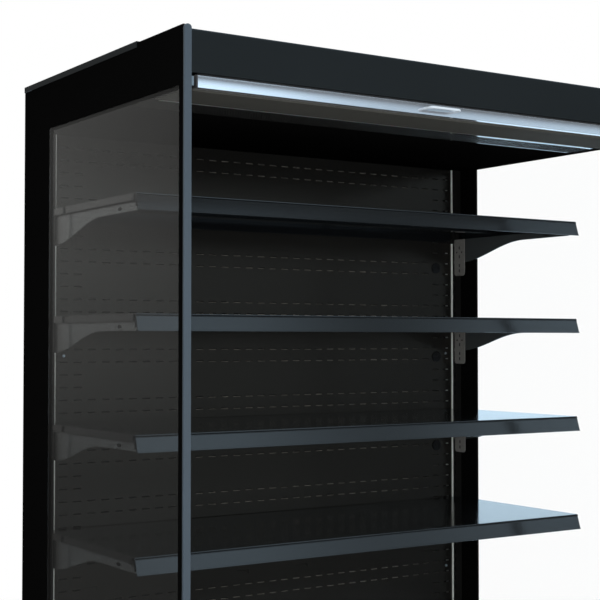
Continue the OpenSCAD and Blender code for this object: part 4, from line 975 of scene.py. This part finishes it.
class CABINET_OT_air_honeycomb(CabinetOperator):
    """Make the honeycomb of the cold air curtain's outlet, with its frame"""

    bl_idname = "cabinet.air_honeycomb"
    bl_label = "Air Honeycomb"

    def make(self, s):
        low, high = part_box("air_honeycomb")
        pitch, rim, lip = s.cell_pitch, s.comb_rim, s.comb_lip
        rise = pitch * math.sin(math.radians(60))
        columns = int((high.x - low.x - 2 * rim - 1.5 * pitch) / pitch) + 1
        rows = int((high.y - low.y - rim - lip - pitch) / rise) + 1
        middle = (low + high) / 2 + Vector((0.0, (lip - rim) / 2, 0.0))
        grown("air_honeycomb_cells", ("Honeycomb", honeycomb_cells), {
            "Columns": columns, "Rows": rows, "Pitch": pitch, "Wall": s.cell_wall,
            "Depth": high.z - low.z}, [middle], "honeycomb", ["air_honeycomb"])
        edging = new_piece(box_mesh("air_honeycomb_rim", [
            (low, (high.x, low.y + lip, high.z)), ((low.x, high.y - rim, low.z), high),
            ((low.x, low.y + lip, low.z), (low.x + rim, high.y - rim, high.z)),
            ((high.x - rim, low.y + lip, low.z), (high.x, high.y - rim, high.z))]), "honeycomb")
        edging.data.materials[0] = finish("comb_frame")


class CABINET_OT_night_blind(CabinetOperator):
    """Finish the night blind's hardware and make its bar and its bent pull handle"""

    bl_idname = "cabinet.night_blind"
    bl_label = "Night Blind"

    def make(self, s):
        smooth_copies(0.0, "blind_brackets", "blind_tube", "blind_end_plugs")
        smooth_copy("blind_bar_caps", s.sheet_edge / 2)
        low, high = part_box("blind_bar")
        top, steps = high.z - s.bar_gap, 12
        drop = top - low.z
        outline = [(low.y + s.bar_bow * (1 - k / steps) ** 3, top - drop * k / steps) for k in range(steps + 1)]
        outline += [(high.y, low.z), (high.y, top)]
        mesh = prism_mesh("blind_bar_profile", [outline], "X", low.x, high.x)
        new_piece(mesh, "bar", "blind_pull", ["blind_bar"])
        self.handle(s)

    def handle(self, s):
        low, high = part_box("blind_handle")
        radius, bend, z = (high.z - low.z) / 2, s.handle_bend, (low.z + high.z) / 2
        left, right, front, rear = low.x + radius, high.x - radius, low.y + radius, high.y + s.bar_bow
        path = [(left, rear)]
        path += [(left + bend * (1 - math.cos(a)), front + bend * (1 - math.sin(a))) for a in quarter_turn(8)]
        path += [(right - bend * (1 - math.sin(a)), front + bend * (1 - math.cos(a))) for a in quarter_turn(8)]
        path.append((right, rear))
        rod = bpy.data.curves.new("blind_handle_rod", "CURVE")
        rod.dimensions = "3D"
        rod.bevel_depth = radius
        rod.bevel_resolution = 4
        rod.use_fill_caps = True
        line = rod.splines.new("POLY")
        line.points.add(len(path) - 1)
        for point, (x, y) in zip(line.points, path):
            point.co = (x, y, z, 1.0)
        mesh = settled(linked("blind_handle_holder", rod), "blind_handle_loop")
        mesh.shade_smooth()
        mesh.set_sharp_from_angle(angle=math.radians(50))
        new_piece(mesh, "handle", "blind_pull", ["blind_handle"])


class CABINET_OT_blind_fabric(CabinetOperator):
    """Make the night blind's fabric: the wound layers and the part that hangs to the bar"""

    bl_idname = "cabinet.blind_fabric"
    bl_label = "Blind Fabric"

    def make(self, s):
        low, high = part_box("blind_fabric_roll")
        tube_low, tube_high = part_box("blind_tube")
        axis_y, axis_z = (low.y + high.y) / 2, (low.z + high.z) / 2
        inner = (tube_high.z - tube_low.z) / 2 + s.fabric
        outer = (high.z - low.z) / 2 - s.fabric
        steps = int(s.fabric_turns * 36)
        path = []
        for step in range(steps + 1):
            share = step / steps
            angle = math.tau * s.fabric_turns * (share - 1) + math.pi
            radius = inner + (outer - inner) * share
            path.append((axis_y + radius * math.cos(angle), axis_z + radius * math.sin(angle)))
        mesh, wound = cloth_mesh("blind_fabric_wound", path, high.x, strips=4)
        roll = new_piece(mesh, "blind_fabric", "blind_roller", ["blind_fabric_roll"])
        thicken(roll, s.fabric)
        low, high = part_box("blind_fabric_drop")
        middle, steps = (low.y + high.y) / 2, 24
        path = [(middle, high.z + (low.z - high.z) * k / steps) for k in range(steps + 1)]
        mesh, hung = cloth_mesh("blind_fabric_hanging", path, high.x, strips=12)
        drop = new_piece(mesh, "blind_fabric", None, ["blind_fabric_drop"])
        thicken(drop, s.fabric)
        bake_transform(drop)


class CABINET_OT_back_wall(CabinetOperator):
    """Finish the slotted back wall: panels, slot rims with painted light, uprights, painted highlight strips along
    their edges and light sockets
    """

    bl_idname = "cabinet.back_wall"
    bl_label = "Back Wall"

    def make(self, s):
        dress(0.0, *BACK_PANELS, "uprights")
        smooth_copy("shelf_light_sockets", s.sheet_edge / 2)
        self.edge_strips(s)
        low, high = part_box("back_panel_upper")
        first_z = high.z - s.slot_first
        self.rims(s, low.y, first_z)
        self.lift_tabs(s, low.y + s.lift_tab, first_z)

    # Painted highlight: near-white strips beside the uprights stand in for the light along their edges.
    def edge_strips(self, s):
        low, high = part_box("upright_edges")
        outer = high.x - s.edge_set
        breaks = [z for number in SHELVES for z in (shelf_top(number), shelf_top(number) - s.edge_break)]
        ends = [high.z, *breaks, low.z]
        across = [sorted((side * outer, side * (outer - s.edge_strip))) for side in SIDES]
        new_piece(box_mesh("upright_edge_highlights", [
            ((left, low.y, foot), (right, high.y, top)) for top, foot in zip(ends[::2], ends[1::2])
            for left, right in across]), "edge_strip", stands_for=["upright_edges"])

    def rims(self, s, face, first_z):
        first_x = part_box("back_panel_screws")[0].x + s.screw_head / 2
        low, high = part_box("shelf_light_sockets")
        socket = high.x - low.x
        grown("back_panel_slot_rims", ("Slot Rims", slot_rims), {
            "Columns": round(-2 * first_x / s.slot_column) + 1, "Rows": SLOT_ROWS,
            "Column Pitch": s.slot_column, "Row Pitch": s.slot_row, "Rim": s.slot_rim,
            "Length": s.slot_length + s.slot_rim, "Height": s.slot_height + s.slot_rim,
            "Socket X": (low.x + high.x) / 2 - first_x, "Socket Z": high.z - socket / 2 - first_z,
            "Socket Pitch": shelf_top(1) - shelf_top(2), "Last Socket": high.z - low.z - socket,
            "Socket Clear X": (socket + s.slot_length) / 2, "Socket Clear Z": socket / 2 + s.socket_seat,
        }, [(first_x, face, first_z)], "slot_rim")

    def lift_tabs(self, s, near, first_z):
        rows = round((first_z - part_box("back_panel_middle")[0].z) / s.slot_row - LIFT_ROWS)
        foot = first_z - rows * s.slot_row - s.lift_tab_height / 2
        top, reach = foot + s.lift_tab_height - s.lift_tab_gap, s.lift_tab_length / 2
        middles = [side * column * s.slot_column for column in LIFT_COLUMNS for side in SIDES]
        new_piece(box_mesh("back_panel_lift_tabs", [
            ((x - reach, near, foot), (x + reach, near + s.lift_tab, top)) for x in middles]), "back_paint")


class CABINET_OT_panel_screws(CabinetOperator):
    """Make the screws of the back panels"""

    bl_idname = "cabinet.panel_screws"
    bl_label = "Panel Screws"

    def make(self, s):
        low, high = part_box("back_panel_screws")
        face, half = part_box("back_panel_upper")[0].y, s.screw_head / 2
        points = [(x, face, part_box(node)[0].z + s.slot_row)
                  for node in BACK_PANELS for x in (low.x + half, high.x - half)]
        screwed("back_panel_screw_heads", points, face - low.y, high.y - face, 1.0, ["back_panel_screws"])


class CABINET_OT_shelves(CabinetOperator):
    """Finish the shelves, their price rails, bracket arms and hook plates"""

    bl_idname = "cabinet.shelves"
    bl_label = "Shelves"

    def make(self, s):
        for number in SHELVES:
            dress(s.sheet_edge, f"shelf_{number}")
            rail = smooth_copy(f"price_rail_{number}", s.sheet_edge / 2)
            # The groove's faces take painted shade.
            rail.data.materials.append(finish("rail_groove"))
            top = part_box(f"price_rail_{number}")[1].z - s.bead
            cut_groove(rail.data, top - s.groove, top, s.groove_depth)
        smooth_copies(s.sheet_edge, "bracket_arms", "hook_plates")
        low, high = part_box("bracket_arms")
        plugs = [(side * (high.x - s.plug_thick / 2), low.y + s.plug_set, shelf_top(number) - s.plug_drop)
                 for number in SHELVES for side in SIDES]
        plugged("bracket_arm_plugs", plugs, s.plug_length, s.plug_height, s.plug_thick + 2 * s.sheet_edge)
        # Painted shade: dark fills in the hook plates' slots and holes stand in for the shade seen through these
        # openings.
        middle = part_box("hook_plates")[1].x - s.hook_plate / 2
        slots, holes = [], []
        for number in SHELVES:
            first = shelf_top(number) - s.hook_first
            for side, steps in ((-1, HOOK_SLOTS[:2]), (1, HOOK_SLOTS)):
                slots += [(side * middle, high.y, first - step) for step in steps]
                holes += [(side * middle, high.y + end * s.hook_hole_set, first - s.hook_row) for end in SIDES]
        thick = s.hook_plate + 2 * s.hook_proud
        plugged("hook_plate_slot_shade", slots, s.hook_slot_width, s.hook_slot, thick)
        plugged("hook_plate_hole_shade", holes, s.hook_hole, s.hook_hole, thick)


class CABINET_OT_base(CabinetOperator):
    """Finish the base: feet, rails, cladding, bumper, deck and return grille"""

    bl_idname = "cabinet.base"
    bl_label = "Base and Deck"

    def make(self, s):
        smooth_copies(s.sheet_edge, "leveling_feet", "foot_lock_nuts", "front_bumper")
        dress(s.sheet_edge, "base_rails", "kick_plate", "front_panel", "deck_rails", "deck_pan_left", "deck_pan_right")
        dress(0.0, "air_return_grille")


class CABINET_OT_cooling(CabinetOperator):
    """Finish the cooling parts: fans, motors, coil, pipes and drain"""

    bl_idname = "cabinet.cooling"
    bl_label = "Cooling Parts"

    def make(self, s):
        dress(0.0, "fan_plate")
        smooth_copies(s.sheet_edge, "fan_motors", "fan_rotor_left", "fan_rotor_right")
        smooth_copies(0.0, "evaporator_coil", "pipe_stubs", "drain_stub")


# Studio

LAMPS = {  # place, aim, size, watts and spread in degrees
    "key_light": ((-2.0, -3.6, 2.2), (0.0, 0.0, 1.2), (2.5, 2.0), 80.0, 180.0),
    "front_light": ((1.6, -3.6, 1.2), (0.0, 0.0, 1.2), (2.0, 2.0), 30.0, 180.0),
    "low_light": ((-0.9, -3.2, 0.5), (0.2, 0.0, 1.6), (1.6, 0.8), 18.0, 180.0),
    "side_light": ((-2.2, -1.7, 1.15), (0.6, 0.2, 1.3), (0.9, 0.9), 1.0, 40.0),
}
COOL, PLAIN = (0.64, 0.84, 1.0, 1.0), (1.0, 1.0, 0.97, 1.0)  # hue of the surround, and at its rear left


def soft_light(name, place, aim, size, power, spread):
    """A soft rectangular lamp that looks at a point."""
    lamp = bpy.data.lights.new(name, "AREA")
    lamp.shape = "RECTANGLE"
    lamp.size, lamp.size_y = size
    lamp.energy = power
    lamp.spread = math.radians(spread)
    holder = linked(name, lamp)
    holder.location = place
    holder.rotation_euler = (Vector(aim) - Vector(place)).to_track_quat("-Z", "Y").to_euler()
    holder.visible_camera = holder.visible_glossy = holder.visible_transmission = False


def surround(tree):
    """Level and hue of what mirrored rays meet outside: light and dark zones about the cabinet.

    Each ramp runs over the ray's direction, from the level at its first bound to that at its second.
    The zones in front are multiplied; those at the rear take over as the ray turns to the rear.
    """
    way = add(tree, "ShaderNodeSeparateXYZ", {0: add(tree, "ShaderNodeTexCoord").outputs["Generated"]})
    x, y, z = way.outputs
    card = ramp(tree, z, 0.25, 0.46, 0.6, 0.02)  # a narrow card at the right, darker upwards
    beside = ramp(tree, apart(tree, x, 0.6), 0.0, 0.11, card, 1.0, smooth=True)
    deep = ramp(tree, z, -0.2, -0.03, 0.1, 0.42)  # dim below, and darker further down
    low = ramp(tree, z, 0.11, 0.15, deep, 1.0)
    crown = ramp(tree, z, 0.72, 0.82, 0.4, 1.8)  # dim high up, and bright overhead
    slope = math_node(tree, "ADD", z, times(tree, x, 0.3))
    high = ramp(tree, slope, 0.66, 0.7, 1.12, crown)
    side = ramp(tree, x, 0.5, 0.7, 1.24, 0.66)  # light that fades to the right
    rise = math_node(tree, "ADD", z, times(tree, x, 0.17))
    shade = ramp(tree, rise, 0.275, 0.34, side, 0.04)  # a dark band above that light
    lift = ramp(tree, rise, 0.37, 0.4, shade, 1.35)
    front = times(tree, beside, high, times(tree, low, lift))
    left = ramp(tree, z, -0.1, 0.125, 0.1, 0.44)  # the rear left, lighter upwards
    turn, back = ramp(tree, x, -0.1, 0.2, smooth=True), ramp(tree, y, -0.1, 0.1, smooth=True)
    rear = ramp(tree, turn, start=left, end=1.4)
    level = ramp(tree, back, start=front, end=rear)
    away = times(tree, back, minus(tree, 1.0, turn))
    return level, blend_colour(tree, away, COOL, PLAIN)


def studio_world(fill):
    """White for what the camera sees, a softer surround for reflections and a plain fill for light."""
    world = bpy.data.worlds.new("Studio")
    world.use_nodes = True
    tree = world.node_tree
    tree.nodes.clear()
    path = add(tree, "ShaderNodeLightPath").outputs
    direct = minus(tree, 1.0, math_node(tree, "MINIMUM", path["Diffuse Depth"], 1.0))
    mirrored = math_node(tree, "MINIMUM", path["Glossy Depth"], 1.0)
    through = times(tree, path["Is Transmission Ray"], direct, minus(tree, 1.0, mirrored))
    level, hue = surround(tree)
    plain = add(tree, "ShaderNodeBackground", {"Color": WHITE, "Strength": fill})
    gloss = add(tree, "ShaderNodeBackground", {"Color": hue, "Strength": level})
    white = add(tree, "ShaderNodeBackground", {"Color": WHITE, "Strength": 1.0})
    seen = mix_shaders(tree, times(tree, mirrored, direct), plain, gloss)
    shown = mix_shaders(tree, math_node(tree, "MAXIMUM", path["Is Camera Ray"], through), seen, white)
    add(tree, "ShaderNodeOutputWorld", {0: shown.outputs[0]})
    return world


def floor_material(stage):
    """A pale floor that keeps the cabinet's shadow, turns to plain white further out and isn't mirrored."""
    material = bpy.data.materials.new("studio_floor")
    material.use_nodes = True
    tree = material.node_tree
    shader = tree.nodes["Principled BSDF"]
    set_inputs(shader, {"Base Color": (*stage.floor, 1.0), "Roughness": 0.9, "Specular IOR Level": 0.1})
    away = add(tree, "ShaderNodeVectorMath", {0: object_place(tree)}, operation="LENGTH").outputs["Value"]
    fade = ramp(tree, away, stage.fade_start, stage.fade_end, smooth=True)
    path = add(tree, "ShaderNodeLightPath").outputs
    mirrored = math_node(tree, "MINIMUM", path["Glossy Depth"], 1.0)
    looked_at = math_node(tree, "MAXIMUM", path["Is Camera Ray"], path["Is Transmission Ray"])
    glow = add(tree, "ShaderNodeEmission", {"Color": WHITE, "Strength": 1.0})
    pale = mix_shaders(tree, times(tree, fade, looked_at), shader, glow)
    mixed = mix_shaders(tree, mirrored, pale, add(tree, "ShaderNodeBsdfTransparent"))
    tree.links.new(mixed.outputs[0], tree.nodes["Material Output"].inputs["Surface"])
    return material


class CABINET_OT_stage(CabinetOperator):
    """Set up the studio: floor, surround, lamps and camera"""

    bl_idname = "cabinet.stage"
    bl_label = "Studio"

    def make(self, s):
        scene = bpy.context.scene
        stage = scene.cabinet_stage
        scene.view_settings.view_transform = "Standard"
        scene.world = studio_world(stage.fill)
        work = bmesh.new()
        bmesh.ops.create_circle(work, cap_ends=True, segments=96, radius=stage.floor_radius)
        floor = linked("studio_floor", mesh_of(work, "studio_floor"))
        floor.data.materials.append(floor_material(stage))
        for name, lamp in LAMPS.items():
            soft_light(name, *lamp)
        lens = bpy.data.cameras.new("studio_camera")
        lens.lens = stage.lens
        lens.sensor_width = 36.0
        camera = linked("studio_camera", lens)
        camera.location = stage.place
        camera.rotation_euler = (SQUARE + stage.tilt, 0.0, -stage.turn)
        scene.camera = camera


OPERATORS = (
    CABINET_OT_end_walls, CABINET_OT_shell, CABINET_OT_canopy, CABINET_OT_air_honeycomb,
    CABINET_OT_night_blind, CABINET_OT_blind_fabric, CABINET_OT_back_wall, CABINET_OT_panel_screws,
    CABINET_OT_shelves, CABINET_OT_base, CABINET_OT_cooling, CABINET_OT_stage,
)


class CABINET_PT_sidebar(bpy.types.Panel):
    """Lists the cabinet's operators and settings in the sidebar"""

    bl_idname = "CABINET_PT_sidebar"
    bl_label = "Display Cabinet"
    bl_space_type = "VIEW_3D"
    bl_region_type = "UI"
    bl_category = "Cabinet"

    def draw(self, context):
        for operator in OPERATORS:
            self.layout.operator(operator.bl_idname)
        for settings in (context.scene.cabinet_sizes, context.scene.cabinet_colours, context.scene.cabinet_stage):
            column = self.layout.column(align=True)
            for key in settings.__annotations__:
                column.prop(settings, key)


CLASSES = (CabinetSizes, CabinetColours, CabinetStage, *OPERATORS, CABINET_PT_sidebar)


def register():
    for cls in CLASSES:
        bpy.utils.register_class(cls)
    bpy.types.Scene.cabinet_sizes = PointerProperty(type=CabinetSizes)
    bpy.types.Scene.cabinet_colours = PointerProperty(type=CabinetColours)
    bpy.types.Scene.cabinet_stage = PointerProperty(type=CabinetStage)


def unregister():
    del bpy.types.Scene.cabinet_stage
    del bpy.types.Scene.cabinet_colours
    del bpy.types.Scene.cabinet_sizes
    for cls in reversed(CLASSES):
        bpy.utils.unregister_class(cls)


def main():
    """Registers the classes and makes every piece."""
    register()
    for operator in OPERATORS:
        group, name = operator.bl_idname.split(".")
        getattr(getattr(bpy.ops, group), name)()


if __name__ == "__main__":
    main()
